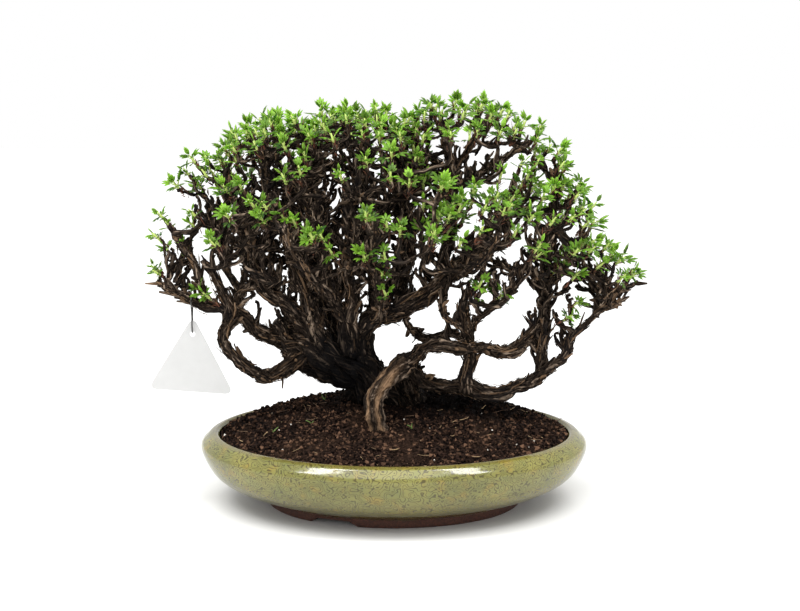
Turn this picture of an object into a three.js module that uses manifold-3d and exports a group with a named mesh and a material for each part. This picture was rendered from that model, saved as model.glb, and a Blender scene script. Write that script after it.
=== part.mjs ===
// A shrubby cinquefoil grown as a bonsai in a low oval glazed pot, in millimetres.
// +Z is up, X runs along the pot, the front faces -Y, and the origin is under the pot's centre.

import * as THREE from "three";
import { mergeVertices } from "three/addons/utils/BufferGeometryUtils.js";
import Module from "manifold-3d";

const wasm = await Module();
wasm.setup();

// Driving dimensions. Everything that touches something else keeps this gap to it.
const GAP = 0.3;

// The pot is an oval: radii are given along X and are shortened by OVAL along Y.
const POT = {
  length: 320,
  width: 256,
  height: 60,
  bellyHeight: 48,
  lipRadius: 148,
  lipInside: 145,
  floorHeight: 13,
  footOuter: 105,
  footInner: 89,
  footRecess: 5,
  sectors: 36,
};
const OVAL = POT.width / POT.length;
const DRAIN = { offset: 50, radius: 9, sides: 12 };
const ARCH = { x: 49, y: 74, width: 40, rise: 4.5, depth: 44, shoulder: 11, curve: 4 };
const SCREEN = { size: 30, thickness: 1, hole: 7, pitch: 12, holesAcross: 2 };

// The soil: a mound that stands highest a little behind the trunk, in crumbs.
const SOIL = {
  edgeHeight: 58,
  rise: 22,
  fullness: 2.4,
  lean: 0.6,
  crumb: 1.6,
  sectors: 28,
  rings: 6,
};

// The plain plastic label and the wire that hangs it on a low left branch.
const LABEL = {
  hole: [-163, -26, 146],
  holeRadius: 2.2,
  thickness: 1.2,
  corners: [
    [0, 15],
    [34.5, -49],
    [-35.5, -46.5],
  ],
  cornerRadius: 5,
  turn: THREE.MathUtils.degToRad(2),
};
const WIRE = { radius: 0.55, sides: 4, branch: [-163, -26, 173], reach: 6.6, over: 5.5, slack: 2.8 };

// Limbs as [x, y, z, radius] points, each from its root to its tip.
const LIMBS = {
  // Roots and trunk.
  frontRoot: [
    [-12, -50, 46, 10.5], [-13, -48, 60, 10], [-15, -46, 73, 9.2], [-15, -45, 86, 8.5],
    [-14, -43, 99, 8], [-7, -36, 109, 8], [2, -26, 115, 8.5], [10, -16, 118, 8],
  ],
  trunk: [
    [8, 18, 42, 18], [6, 16, 60, 19], [2, 14, 75, 18.5], [-8, 12, 90, 18], [-22, 8, 103, 17.5],
    [-38, 4, 115, 17], [-56, 2, 125, 16], [-74, 2, 134, 13.5], [-87, 2, 143, 10],
    [-97, 0, 152, 6.5],
  ],
  rearRoot: [
    [22, 26, 50, 9], [20, 20, 70, 9.5], [14, 10, 88, 9], [8, -2, 104, 9], [8, -12, 116, 8.5],
  ],
  leftRoot: [
    [-46, 30, 52, 6], [-38, 26, 74, 8], [-26, 18, 92, 9], [-16, 10, 100, 9],
  ],
  // Low limb to the right, with its rising end.
  lowRight: [
    [7, -10, 114, 8.5], [16, -10, 109, 7.5], [26, -10, 103, 6.8], [40, -12, 100, 6.6],
    [56, -14, 98, 6.6], [72, -16, 96, 6.6], [89, -18, 96, 6], [100, -18, 99, 5.6],
    [110, -18, 104, 5.2], [121, -18, 112, 4.8], [131, -18, 119, 4.4], [139, -18, 125, 4],
    [142, -18, 137, 3.4], [143, -18, 145, 2.6],
  ],
  lowRightOut: [
    [142, -18, 138, 3.2], [149, -18, 147, 3], [158, -16, 154, 2.8], [169, -14, 163, 2.6],
    [179, -12, 168, 2.2], [190, -10, 173, 1.5],
  ],
  lowRightUp: [
    [168, -14, 163, 2.4], [172, -12, 176, 2.2], [176, -10, 190, 1.7],
  ],
  lowRightTip: [
    [174, -13, 167, 2.2], [182, -6, 177, 2], [193, -2, 181, 1.8], [200, 0, 185, 1.5],
  ],
  lowRightRise: [
    [118, -18, 109, 4.4], [121, -14, 125, 4], [122, -10, 138, 3.6], [125, -6, 150, 3.6],
    [126, -4, 162, 3.4],
  ],
  // Upper arch to the right and the tower that stands on it.
  archRight: [
    [7, -16, 116, 8], [16, -18, 125, 6.5], [25, -22, 134, 5.5], [40, -26, 136, 5],
    [57, -28, 135, 5], [74, -27, 134, 5], [89, -22, 130, 5], [101, -14, 132, 5], [112, -8, 141, 5],
    [120, -2, 152, 5], [125, 0, 165, 4.6],
  ],
  rightTower: [
    [125, 0, 163, 4.8], [123, 3, 180, 4.2], [126, 6, 196, 4], [127, 8, 212, 3.6],
    [130, 10, 228, 3.2], [131, 10, 244, 2.8], [132, 8, 259, 2.4], [131, 6, 274, 1.9],
  ],
  // Post between the two right limbs, with its forks.
  post: [
    [59, -14, 97, 6.6], [59, -17, 113, 5.4], [62, -20, 128, 4.8], [61, -24, 141, 4.6],
    [57, -26, 153, 4.3], [55, -26, 167, 3.8], [58, -28, 178, 2.8],
  ],
  postRight: [
    [61, -24, 142, 3.6], [65, -30, 157, 3], [75, -34, 166, 2.8], [88, -36, 174, 2.6],
    [96, -34, 185, 2.3], [103, -30, 194, 1.8],
  ],
  postLeft: [
    [56, -27, 151, 3], [49, -31, 156, 2.5], [40, -34, 163, 2.2], [38, -34, 173, 2],
    [42, -34, 186, 1.5],
  ],
  hook: [
    [9, -12, 165, 3.4], [10, -2, 151, 3], [15, 2, 143, 3], [23, 2, 139, 2.9], [35, -2, 139, 2.9],
    [46, -10, 143, 2.9], [59, -22, 142, 2.9],
  ],
  // Risers in the middle.
  middleRiser: [
    [-34, -4, 128, 9], [-40, -16, 156, 6], [-48, -24, 175, 5], [-54, -30, 198, 4.4],
    [-59, -34, 216, 3.8], [-65, -34, 236, 3.2], [-70, -28, 255, 2.7], [-75, -20, 277, 2],
  ],
  rightRiser: [
    [-21, -2, 118, 10], [-26, -4, 142, 8.4], [-15, -8, 156, 7.6], [1, -12, 162, 7],
    [17, -16, 171, 6.2], [33, -18, 182, 5.6], [47, -16, 195, 5], [60, -12, 206, 4.4],
    [75, -8, 212, 3.8], [89, -6, 217, 3.2], [103, -4, 223, 2.4],
  ],
  upperRight: [
    [33, -14, 180, 5], [41, 10, 199, 4.6], [46, 18, 221, 4.5], [48, 22, 245, 4.3], [46, 24, 267, 4],
    [45, 22, 284, 3.3], [41, 18, 299, 2.8], [38, 14, 316, 2.1],
  ],
  upperRightMid: [
    [46, 24, 266, 3.4], [53, 20, 281, 3], [62, 14, 292, 2.8], [68, 10, 304, 2.4], [73, 6, 315, 1.8],
  ],
  upperRightOut: [
    [48, 24, 256, 3.4], [66, 24, 268, 3], [78, 20, 277, 2.8], [90, 14, 283, 2.4], [101, 8, 293, 2],
    [110, 4, 300, 1.6],
  ],
  upperRightIn: [
    [46, 24, 272, 3], [35, 16, 282, 2.6], [25, 10, 290, 2.2], [16, 6, 300, 1.9], [10, 4, 312, 1.6],
  ],
  shoulderRiser: [
    [-58, -4, 132, 8], [-66, -12, 158, 6.4], [-74, -20, 184, 5.2], [-84, -26, 212, 4],
    [-92, -30, 240, 2.9], [-96, -32, 262, 2],
  ],
  middleWeb: [
    [-30, -4, 126, 8], [-36, -14, 150, 6.4], [-34, -22, 176, 5.2], [-38, -28, 204, 4.2],
    [-34, -34, 232, 3.2], [-38, -40, 262, 2],
  ],
  innerRiser: [
    [-15, -8, 154, 6.4], [-14, 0, 176, 5.2], [-20, 6, 200, 4.6], [-24, 8, 226, 3.8],
    [-22, 6, 254, 3], [-26, 2, 284, 2],
  ],
  innerRightRiser: [
    [1, -12, 160, 6], [8, 4, 182, 4.8], [12, 14, 206, 4], [8, 18, 232, 3.4], [4, 16, 260, 2.8],
    [2, 10, 292, 1.9],
  ],
  // The left side: shoulder, hanging loop, long low branch and their forks.
  leftShoulder: [
    [-59, -2, 132, 9], [-72, -10, 153, 7], [-85, -14, 164, 6.2], [-97, -18, 175, 5.6],
    [-109, -20, 189, 4.8], [-114, -20, 204, 4.2], [-115, -18, 222, 3.6], [-118, -14, 239, 3.1],
    [-127, -10, 253, 2.6], [-134, -8, 269, 1.9],
  ],
  leftCrown: [
    [-114, -20, 203, 4], [-104, -14, 222, 3.4], [-100, -6, 244, 3], [-104, 2, 268, 2.5],
    [-102, 6, 294, 1.9],
  ],
  leftLoop: [
    [-66, 0, 127, 9], [-77, -6, 122, 6.6], [-88, -12, 116, 5.6], [-101, -16, 107, 5.4],
    [-113, -18, 112, 5.4], [-125, -20, 122, 5.2], [-137, -22, 134, 4.8], [-139, -22, 145, 4.6],
    [-134, -22, 157, 4.7], [-134, -22, 168, 4.4], [-139, -22, 181, 3.8], [-146, -22, 195, 3],
    [-154, -20, 206, 2.2],
  ],
  leftLong: [
    [-134, -22, 166, 4.4], [-152, -24, 169, 4], [-161, -26, 172, 3.6], [-172, -26, 178, 3.3],
    [-182, -26, 183, 2.8], [-191, -26, 190, 1.8],
  ],
  leftLink: [
    [-81, 4, 134, 8.5], [-96, 0, 136, 6.4], [-107, -5, 142, 5.8], [-116, -10, 149, 5.2],
    [-124, -16, 160, 4.6], [-133, -21, 167, 4.2],
  ],
  leftArch: [
    [-127, -18, 163, 3.6], [-127, -15, 174, 3.2], [-122, -14, 181, 3.1], [-115, -16, 184, 3.2],
    [-107, -19, 186, 3.2],
  ],
  leftArchUp: [
    [-124, -14, 179, 3], [-132, -12, 189, 2.7], [-138, -10, 201, 2.5], [-142, -8, 215, 2.3],
    [-147, -6, 228, 2.1], [-153, -4, 240, 1.7],
  ],
  leftUp: [
    [-150, -24, 169, 3.4], [-156, -24, 187, 3], [-161, -24, 203, 2.7], [-168, -24, 214, 2.4],
    [-174, -22, 225, 2.1], [-181, -20, 234, 1.7],
  ],
  // Limbs behind.
  backLeft: [
    [-38, 4, 117, 8], [-44, 24, 134, 7], [-58, 44, 158, 5.6], [-74, 62, 186, 4.6],
    [-86, 78, 216, 3.8], [-92, 90, 246, 3], [-88, 92, 260, 2.2],
  ],
  backMiddle: [
    [-26, -2, 138, 7.5], [-18, 16, 150, 6.6], [-6, 36, 166, 5.8], [4, 54, 190, 4.8],
    [10, 70, 220, 4], [8, 84, 252, 3.2], [12, 88, 266, 2.3],
  ],
  backRight: [
    [17, -14, 170, 5.6], [30, 8, 176, 5.2], [44, 32, 184, 4.6], [62, 54, 198, 4],
    [82, 72, 218, 3.4], [98, 84, 244, 2.8], [104, 84, 258, 2.1],
  ],
  backFarLeft: [
    [-97, -16, 175, 5], [-104, 4, 184, 4.6], [-116, 28, 194, 4], [-132, 48, 206, 3.4],
    [-146, 62, 224, 2.8], [-150, 70, 246, 1.9],
  ],
  backLowRight: [
    [123, 2, 176, 4], [130, 22, 180, 3.8], [140, 42, 186, 3.3], [152, 58, 198, 2.7],
    [160, 68, 214, 1.8],
  ],
  // Limbs in front.
  frontLeft: [
    [-48, -24, 173, 4.8], [-56, -44, 186, 4], [-66, -62, 202, 3.4], [-78, -78, 222, 2.8],
    [-84, -88, 244, 1.9],
  ],
  frontMiddle: [
    [-15, -8, 156, 6.4], [-12, -30, 166, 5], [-10, -52, 182, 4.2], [-14, -72, 202, 3.4],
    [-16, -90, 226, 2.6], [-14, -100, 248, 1.8],
  ],
  frontRight: [
    [47, -16, 193, 5], [52, -36, 198, 4.2], [60, -56, 206, 3.5], [72, -72, 218, 2.8],
    [82, -84, 236, 1.9],
  ],
};
const ROOTS = [LIMBS.frontRoot, LIMBS.trunk, LIMBS.rearRoot, LIMBS.leftRoot];

// How finely a limb is made, by the radius at its root: sides, step between rings, depth of its flutes.
const SECTIONS = [
  { over: 12, sides: 8, step: 20, ridge: 0.1 },
  { over: 7.8, sides: 6, step: 22, ridge: 0.12 },
  { over: 4.9, sides: 5, step: 25, ridge: 0.12 },
  { over: 3, sides: 4, step: 24, ridge: 0.1 },
  { over: 0, sides: 3, step: 24, ridge: 0 },
];

// Tips of the leafy shoots, the ones that give the crown its outline and its face.
const TIPS = [
  // Along the top.
  [-116, -10, 303], [-100, 20, 311], [-78, -28, 316], [-58, 10, 319], [-37, -38, 317], [-14, 15, 320],
  [30, 0, 325], [54, 35, 319], [76, -15, 317], [97, 22, 306], [113, -8, 298], [125, 18, 289],
  // Down the left side.
  [-145, -5, 272], [-159, 10, 256], [-158, -32, 243], [-180, -15, 230], [-184, 5, 208],
  [-188, -25, 194], [-140, -58, 222], [-128, -60, 244], [-122, -42, 284],
  // Down the right side.
  [137, 5, 274], [148, 12, 252], [159, -8, 230], [155, -38, 214], [174, 8, 200], [192, -5, 187],
  [138, -50, 241], [138, -28, 158],
  // The face of the crown.
  [-72, -68, 280], [-21, -104, 250], [-6, -98, 218], [30, -100, 236], [36, -84, 270],
  [84, -80, 250], [66, -64, 190], [-98, -74, 254], [-2, -60, 292], [-62, -88, 232],
  // The back of the crown.
  [-92, 100, 280], [-38, 92, 292], [18, 104, 284], [64, 84, 292], [108, 92, 268], [142, 66, 234],
  [-142, 68, 246],
  // Between those, where the crown would show a hole.
  [16, 38, 308], [-64, 46, 304], [80, 56, 306], [44, -46, 304], [23, -40, 250], [93, -20, 252],
  [-120, 48, 284],
];

// Tips of leafless twigs, which fill the thicket inside the crown.
const BARE_TIPS = [
  [-70, 24, 220], [-68, 50, 268], [-4, -36, 230], [50, -34, 246], [-29, 54, 236], [-116, 32, 240],
  [-35, 44, 200], [104, -20, 248], [-34, -46, 256], [24, -56, 214], [-66, 20, 256], [-102, -54, 200],
  [30, -10, 238], [0, -22, 266], [11, 48, 262], [58, -20, 280], [100, 18, 248], [-36, -56, 222],
  [62, 46, 284], [-145, 38, 254], [-84, 30, 284], [-10, 20, 288], [-25, 54, 296], [86, -40, 288],
  [-10, -62, 190], [104, 40, 232], [-60, -10, 284], [-150, -6, 222],
];

// The heart of the crown, from which shoots point outwards.
const HEART = [0, 0, 170];

// Twigs and shoots.
const TWIG = { tipRadius: 1.15, least: 15, kink: 0.09, section: { sides: 3, step: 19, ridge: 0 } };
const SHOOT = { radius: 1.05, length: 8, sideLeafAt: 4, singleBehind: 30 };
const SPUR = { every: 130, least: 8, most: 18, radius: 1.3, section: { sides: 3, step: 40, ridge: 0 } };
const NODE_SPACING = 4;
const BARE_TIP = 7;

// A leaf: a short stalk and five narrow leaflets that spread from its end.
const LEAF = {
  stalk: 4,
  stalkHalf: 0.5,
  hub: 5.2,
  hubRadius: 1.5,
  thickness: 0.7,
  droop: 0.018,
  straightFrom: 30,
  leaflets: [
    { angle: -78, length: 7.2, half: 1.3 },
    { angle: -38, length: 9.2, half: 1.45 },
    { angle: 0, length: 10.6, half: 1.55 },
    { angle: 38, length: 9.2, half: 1.45 },
    { angle: 78, length: 7.2, half: 1.3 },
  ],
};
const CLEAR = { wood: 2.1, leaf: 1.9, tries: 18, turn: 40 };
const SEED = 20251;

const MATERIALS = {
  glaze: { color: 0x8f9560, roughness: 0.22, metalness: 0 },
  soil: { color: 0x33251d, roughness: 0.95, metalness: 0 },
  bark: { color: 0x3d2f27, roughness: 0.9, metalness: 0 },
  leaf: { color: 0x5f9a2f, roughness: 0.6, metalness: 0 },
  label: { color: 0xf3f5f3, roughness: 0.4, metalness: 0 },
  wire: { color: 0x2b2b2b, roughness: 0.4, metalness: 0.7 },
  screen: { color: 0x1f2021, roughness: 0.6, metalness: 0 },
};

// Numbers between 0 and 1 that are the same on every run.
function seededDraws(seed) {
  let state = seed;
  return () => {
    state = (state * 1664525 + 1013904223) % 4294967296;
    return state / 4294967296;
  };
}

// A closed geometry as a solid.
function solidOf(geometry) {
  const bare = new THREE.BufferGeometry();
  bare.setAttribute("position", geometry.getAttribute("position"));
  if (geometry.index) bare.setIndex(geometry.index);
  const merged = mergeVertices(bare, 1e-4);
  const index = merged.index.array;
  const triangles = [];
  for (let i = 0; i < index.length; i += 3) {
    const [a, b, c] = [index[i], index[i + 1], index[i + 2]];
    if (a !== b && b !== c && c !== a) triangles.push(a, b, c);
  }
  return new wasm.Manifold(
    new wasm.Mesh({
      numProp: 3,
      vertProperties: merged.attributes.position.array,
      triVerts: new Uint32Array(triangles),
    }),
  );
}

function geometryOf(solid) {
  const { vertProperties, triVerts } = solid.getMesh();
  const geometry = new THREE.BufferGeometry();
  geometry.setAttribute("position", new THREE.BufferAttribute(vertProperties, 3));
  geometry.setIndex(new THREE.BufferAttribute(triVerts, 1));
  geometry.computeVertexNormals();
  return geometry;
}

const joined = (solids) => wasm.Manifold.union(solids);

function named(name, solid, material) {
  const mesh = new THREE.Mesh(geometryOf(solid), new THREE.MeshStandardMaterial(MATERIALS[material]));
  mesh.name = name;
  return mesh;
}

const vector = ([x, y, z]) => new THREE.Vector3(x, y, z);

// Rings of points joined into a closed surface, with a flat face on each end.
function closedRings(rings) {
  const sides = rings[0].length;
  const positions = rings.flat().flatMap((p) => [p.x, p.y, p.z]);
  const index = [];
  for (let ring = 0; ring < rings.length - 1; ring++) {
    for (let side = 0; side < sides; side++) {
      const a = ring * sides + side;
      const b = ring * sides + ((side + 1) % sides);
      index.push(a, b, b + sides, a, b + sides, a + sides);
    }
  }
  const last = (rings.length - 1) * sides;
  for (let side = 1; side < sides - 1; side++) {
    index.push(0, side + 1, side, last, last + side, last + side + 1);
  }
  const geometry = new THREE.BufferGeometry();
  geometry.setAttribute("position", new THREE.Float32BufferAttribute(positions, 3));
  geometry.setIndex(index);
  return geometry;
}

// Where a limb's rings stand: evenly along a smooth curve through its route's points, with the radius there.
function ringPlaces(route, step) {
  const points = route.map(vector);
  const length = points.slice(1).reduce((sum, point, i) => sum + point.distanceTo(points[i]), 0);
  const count = Math.max(1, Math.round(length / step));
  const curve = new THREE.CatmullRomCurve3(points, false, "catmullrom", 0.5);
  const places = [];
  for (let i = 0; i <= count; i++) {
    const along = (i / count) * (route.length - 1);
    const from = Math.min(Math.floor(along), route.length - 2);
    const radius = THREE.MathUtils.lerp(route[from][3], route[from + 1][3], along - from);
    places.push({ point: curve.getPoint(i / count), tangent: curve.getTangent(i / count), radius });
  }
  return places;
}

const sectionOf = (route) => SECTIONS.find(({ over }) => route[0][3] > over);

// A tapering limb along its route. Its section is fluted, the flutes wind round it, and extra thickens it.
function limbSolid(route, section = sectionOf(route), extra = 0) {
  const { sides, step, ridge } = section;
  const normal = new THREE.Vector3(0.31, 0.88, 0.36);
  const rings = ringPlaces(route, step).map(({ point, tangent, radius }, i) => {
    normal.addScaledVector(tangent, -normal.dot(tangent)).normalize();
    const binormal = tangent.clone().cross(normal);
    const ring = [];
    for (let side = 0; side < sides; side++) {
      const angle = (2 * Math.PI * side) / sides;
      const flute = 1 + ridge * Math.sin(2 * angle + i * 1.1) + ridge * Math.cos(3 * angle - i * 0.7);
      ring.push(
        point
          .clone()
          .addScaledVector(normal, Math.cos(angle) * (radius * flute + extra))
          .addScaledVector(binormal, Math.sin(angle) * (radius * flute + extra)),
      );
    }
    return ring;
  });
  return solidOf(closedRings(rings));
}

// The skeleton that twigs grow from: points every few millimetres along each limb. Its tip bears no twig.
function sampleRoute(route, section = sectionOf(route)) {
  const places = ringPlaces(route, section.step);
  const tip = places[places.length - 1].point;
  const nodes = [];
  for (let i = 0; i < places.length - 1; i++) {
    const [from, to] = [places[i], places[i + 1]];
    const pieces = Math.ceil(from.point.distanceTo(to.point) / NODE_SPACING);
    for (let piece = 0; piece < pieces; piece++) {
      const point = from.point.clone().lerp(to.point, piece / pieces);
      const radius = THREE.MathUtils.lerp(from.radius, to.radius, piece / pieces);
      nodes.push({ point, radius, bears: point.distanceTo(tip) > BARE_TIP });
    }
  }
  nodes.push({ point: tip, radius: places[places.length - 1].radius, bears: false });
  return nodes;
}

// Distance from a skeleton node to a tip, longer where the twig would have to grow down.
function reach(node, tip) {
  const drop = Math.max(0, node.point.z - tip.z + 6);
  return node.point.distanceTo(tip) + 1.5 * drop;
}

// The way a shoot points: out of the crown's heart, and up.
function shootDirection(tip, draw) {
  const out = tip.clone().sub(vector(HEART)).normalize();
  out.z += 0.75;
  out.x += 0.5 * (draw() - 0.5);
  out.y += 0.5 * (draw() - 0.5);
  return out.normalize();
}

// A twig from the nearest part of the skeleton: it leaves low, kinks, and ends pointing as its shoot does.
function growTwig(tip, nodes, draw) {
  const direction = shootDirection(tip, draw);
  let root = null;
  for (const node of nodes) {
    if (!node.bears || node.point.distanceTo(tip) < TWIG.least) continue;
    if (!root || reach(node, tip) < reach(root, tip)) root = node;
  }
  const span = root.point.distanceTo(tip);
  const neck = tip.clone().addScaledVector(direction, -0.3 * span);
  const radius = Math.min(0.85 * root.radius, TWIG.tipRadius + 0.35 + 0.016 * span);
  const bend = root.point.clone().lerp(neck, 0.5);
  bend.x += TWIG.kink * span * 2 * (draw() - 0.5);
  bend.y += TWIG.kink * span * 2 * (draw() - 0.5);
  bend.z -= 0.08 * span;
  const route = [
    [...root.point.toArray(), radius],
    [...bend.toArray(), THREE.MathUtils.lerp(radius, TWIG.tipRadius, 0.5)],
    [...neck.toArray(), TWIG.tipRadius + 0.1],
    [...tip.toArray(), TWIG.tipRadius],
  ];
  return { route, direction, tip };
}

// A twig to every tip, nearest first, so that a far one can grow from a near one.
function growTwigs(tips, nodes, draw) {
  const waiting = tips.map((place, order) => {
    const tip = vector(place);
    const near = Math.min(...nodes.map((node) => node.point.distanceTo(tip)));
    return { tip, near, order };
  });
  waiting.sort((a, b) => a.near - b.near || a.order - b.order);
  return waiting.map(({ tip, order }) => {
    const twig = growTwig(tip, nodes, draw);
    nodes.push(...sampleRoute(twig.route, TWIG.section));
    return { ...twig, order };
  });
}

// Bare stubs where old shoots died back, set along the limbs by a rule.
function growSpurs(nodes, draw) {
  const spurs = [];
  for (let i = 5; i < nodes.length; i += SPUR.every) {
    const { point, radius } = nodes[i];
    const angle = 2 * Math.PI * draw();
    const side = new THREE.Vector3(Math.cos(angle), Math.sin(angle), 0.5 + 0.7 * draw()).normalize();
    const length = radius + SPUR.least + (SPUR.most - SPUR.least) * draw();
    if (radius < 2.2 || radius > 9 || point.z < 100) continue;
    const end = point.clone().addScaledVector(side, length);
    spurs.push([
      [...point.toArray(), SPUR.radius],
      [...end.toArray(), 0.5],
    ]);
  }
  return spurs;
}

// The leaf's outline in its own plane: a notch before each leaflet, then its wide right, tip and wide left.
// All leaflets but the middle one are straight on their inner side.
function leafOutline() {
  const { stalk, stalkHalf, hub, hubRadius, leaflets } = LEAF;
  const radians = THREE.MathUtils.degToRad;
  const notches = [[stalk, -stalkHalf]];
  for (let i = 0; i < leaflets.length - 1; i++) {
    const middle = radians((leaflets[i].angle + leaflets[i + 1].angle) / 2);
    notches.push([hub + hubRadius * Math.cos(middle), hubRadius * Math.sin(middle)]);
  }
  notches.push([stalk, stalkHalf]);
  const blades = leaflets.map(({ angle, length, half }) => {
    const turn = radians(angle);
    const at = (far, aside) => [
      hub + far * Math.cos(turn) - aside * Math.sin(turn),
      far * Math.sin(turn) + aside * Math.cos(turn),
    ];
    const sides = [at(0.52 * length, -half), at(length, 0), at(0.52 * length, half)];
    if (angle < -LEAF.straightFrom) return sides.slice(0, 2);
    return angle > LEAF.straightFrom ? sides.slice(1) : sides;
  });
  return { notches, blades };
}

// Points on both faces and the triangles of one face, both in the leaf's own frame.
function leafPattern() {
  const { notches, blades } = leafOutline();
  const points = [
    [0, -LEAF.stalkHalf],
    [0, LEAF.stalkHalf],
  ];
  const outline = [0];
  const faces = [];
  const notchIndex = notches.map((notch) => points.push(notch) - 1);
  blades.forEach((blade, i) => {
    const edge = blade.map((p) => points.push(p) - 1);
    const [from, to] = [notchIndex[i], notchIndex[i + 1]];
    if (edge.length === 3) faces.push([from, edge[0], to], [to, edge[0], edge[2]], edge);
    else faces.push([from, edge[0], to], [to, edge[0], edge[1]]);
    outline.push(from, ...edge);
  });
  const last = notchIndex[notchIndex.length - 1];
  outline.push(last, 1);
  for (let i = 1; i < notchIndex.length - 1; i++) {
    faces.push([notchIndex[0], notchIndex[i], notchIndex[i + 1]]);
  }
  faces.push([0, notchIndex[0], last], [0, last, 1]);
  return { points, outline, faces };
}

const PATTERN = leafPattern();

// The leaf arches: a point falls below the stalk's plane by the square of its distance from the hub.
function archedPoint([u, v]) {
  const fromHub = Math.max(0, Math.hypot(u - LEAF.hub, v) - LEAF.hubRadius);
  return new THREE.Vector3(u, v, -LEAF.droop * fromHub * fromHub);
}

const radialAt = (shoot, azimuth) =>
  shoot.side.clone().multiplyScalar(Math.cos(azimuth)).addScaledVector(shoot.cross, Math.sin(azimuth));

// The frame of a leaf on a shoot: its stalk leaves the shoot at a tilt, with its upper face to the shoot.
function leafFrame(shoot, { azimuth, tilt, height }) {
  const radial = radialAt(shoot, azimuth);
  const out = shoot.direction.clone().multiplyScalar(Math.cos(tilt)).addScaledVector(radial, Math.sin(tilt));
  const up = shoot.direction.clone().multiplyScalar(Math.sin(tilt)).addScaledVector(radial, -Math.cos(tilt));
  const across = up.clone().cross(out);
  const root = shoot.base.clone().addScaledVector(shoot.direction, height);
  return new THREE.Matrix4().makeBasis(out, across, up).setPosition(root);
}

// A leaf as one thin waved blade. A stem, where it has one, carries its root back to the shoot's base.
function leafSolid(frame, stem = null) {
  const half = LEAF.thickness / 2;
  const count = PATTERN.points.length;
  const positions = [];
  for (const offset of [half, -half]) {
    for (const point of PATTERN.points) {
      const place = archedPoint(point);
      place.z += offset;
      positions.push(...place.applyMatrix4(frame).toArray());
    }
  }
  const index = [];
  for (const [a, b, c] of PATTERN.faces) {
    index.push(a, b, c, a + count, c + count, b + count);
  }
  const rim = (from, to, below) => index.push(from, from + below, to + below, from, to + below, to);
  PATTERN.outline.forEach((from, i) => {
    if (stem && i === PATTERN.outline.length - 1) return;
    rim(from, PATTERN.outline[(i + 1) % PATTERN.outline.length], count);
  });
  if (stem) {
    const first = positions.length / 3;
    for (const corner of stem) positions.push(...corner.toArray());
    const root = [0, 1, 1 + count, count];
    root.forEach((here, i) => {
      const next = (i + 1) % root.length;
      index.push(here, root[next], first + next, here, first + next, first + i);
    });
    index.push(first, first + 1, first + 2, first, first + 2, first + 3);
  }
  const geometry = new THREE.BufferGeometry();
  geometry.setAttribute("position", new THREE.Float32BufferAttribute(positions, 3));
  geometry.setIndex(index);
  return solidOf(geometry);
}

// The four corners of a shoot's base, in the order of the leaf root that it runs into.
function stemCorners(shoot, azimuth) {
  const radial = radialAt(shoot, azimuth);
  const across = radial.clone().negate().cross(shoot.direction);
  const corners = [
    [-1, -1],
    [1, -1],
    [1, 1],
    [-1, 1],
  ];
  return corners.map(([a, r]) =>
    shoot.base
      .clone()
      .addScaledVector(across, 0.8 * SHOOT.radius * a)
      .addScaledVector(radial, 0.8 * SHOOT.radius * r),
  );
}

// Points that stand for a leaf when its room is tested: its outline and the ribs of its leaflets.
function leafPoints(frame) {
  const ribs = LEAF.leaflets.flatMap(({ angle, length }) => {
    const turn = THREE.MathUtils.degToRad(angle);
    return [0.3, 0.76].map((part) => [
      LEAF.hub + part * length * Math.cos(turn),
      part * length * Math.sin(turn),
    ]);
  });
  return [...PATTERN.points.slice(2), ...ribs].map((point) => archedPoint(point).applyMatrix4(frame));
}

// A leaf fits where it stays clear of the wood and of the leaves that are already there.
function fits(points, nodes, taken) {
  const clearOfWood = points.every((point) =>
    nodes.every((node) => point.distanceTo(node.point) > node.radius + CLEAR.wood),
  );
  return clearOfWood && points.every((point) => taken.every((other) => point.distanceTo(other) > CLEAR.leaf));
}

// One leafy shoot: a green stem that ends in a leaf, with another at its side unless it stands at the back.
// Each leaf is turned on until it has room.
function growShoot({ direction, tip }, nodes, taken, draw) {
  const side = new THREE.Vector3(0, 0, 1).cross(direction).normalize();
  const cross = direction.clone().cross(side);
  const shoot = { base: tip.clone().addScaledVector(direction, GAP), direction, side, cross };
  const start = 2 * Math.PI * draw();
  const own = [];
  const place = (height, turn) => {
    const tilt = THREE.MathUtils.degToRad(30 + 26 * draw());
    for (let attempt = 0; attempt < CLEAR.tries; attempt++) {
      const azimuth = start + turn + THREE.MathUtils.degToRad(CLEAR.turn * attempt);
      const frame = leafFrame(shoot, { azimuth, tilt, height });
      const points = leafPoints(frame);
      if (!fits(points, nodes, taken) || !fits(points, [], own)) continue;
      own.push(...points);
      return { frame, azimuth };
    }
    return null;
  };
  const top = place(SHOOT.length, 0);
  const solids = [leafSolid(top.frame, stemCorners(shoot, top.azimuth))];
  const aside = tip.y < SHOOT.singleBehind ? place(SHOOT.sideLeafAt, Math.PI) : null;
  if (aside) solids.push(leafSolid(aside.frame));
  taken.push(...own);
  return joined(solids);
}

// A surface of revolution made oval, from [radius, height] points.
function ovalLathe(points, sectors) {
  const lathe = new THREE.LatheGeometry(
    points.map(([r, z]) => new THREE.Vector2(r, z)),
    sectors,
  );
  lathe.rotateX(Math.PI / 2);
  lathe.scale(1, OVAL, 1);
  return lathe;
}

const smooth = (points, count) => {
  const curve = new THREE.SplineCurve(points.map(([r, z]) => new THREE.Vector2(r, z)));
  return curve.getPoints(count).map((p) => [p.x, p.y]);
};

// The pot's inner wall from the lip down to the floor.
const POT_INSIDE = smooth(
  [
    [POT.lipInside, POT.height - 2],
    [POT.lipInside + 4, POT.bellyHeight],
    [POT.lipInside, POT.floorHeight + 21],
    [POT.lipInside - 22, POT.floorHeight + 7],
    [POT.footOuter - 10, POT.floorHeight],
  ],
  4,
);

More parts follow.
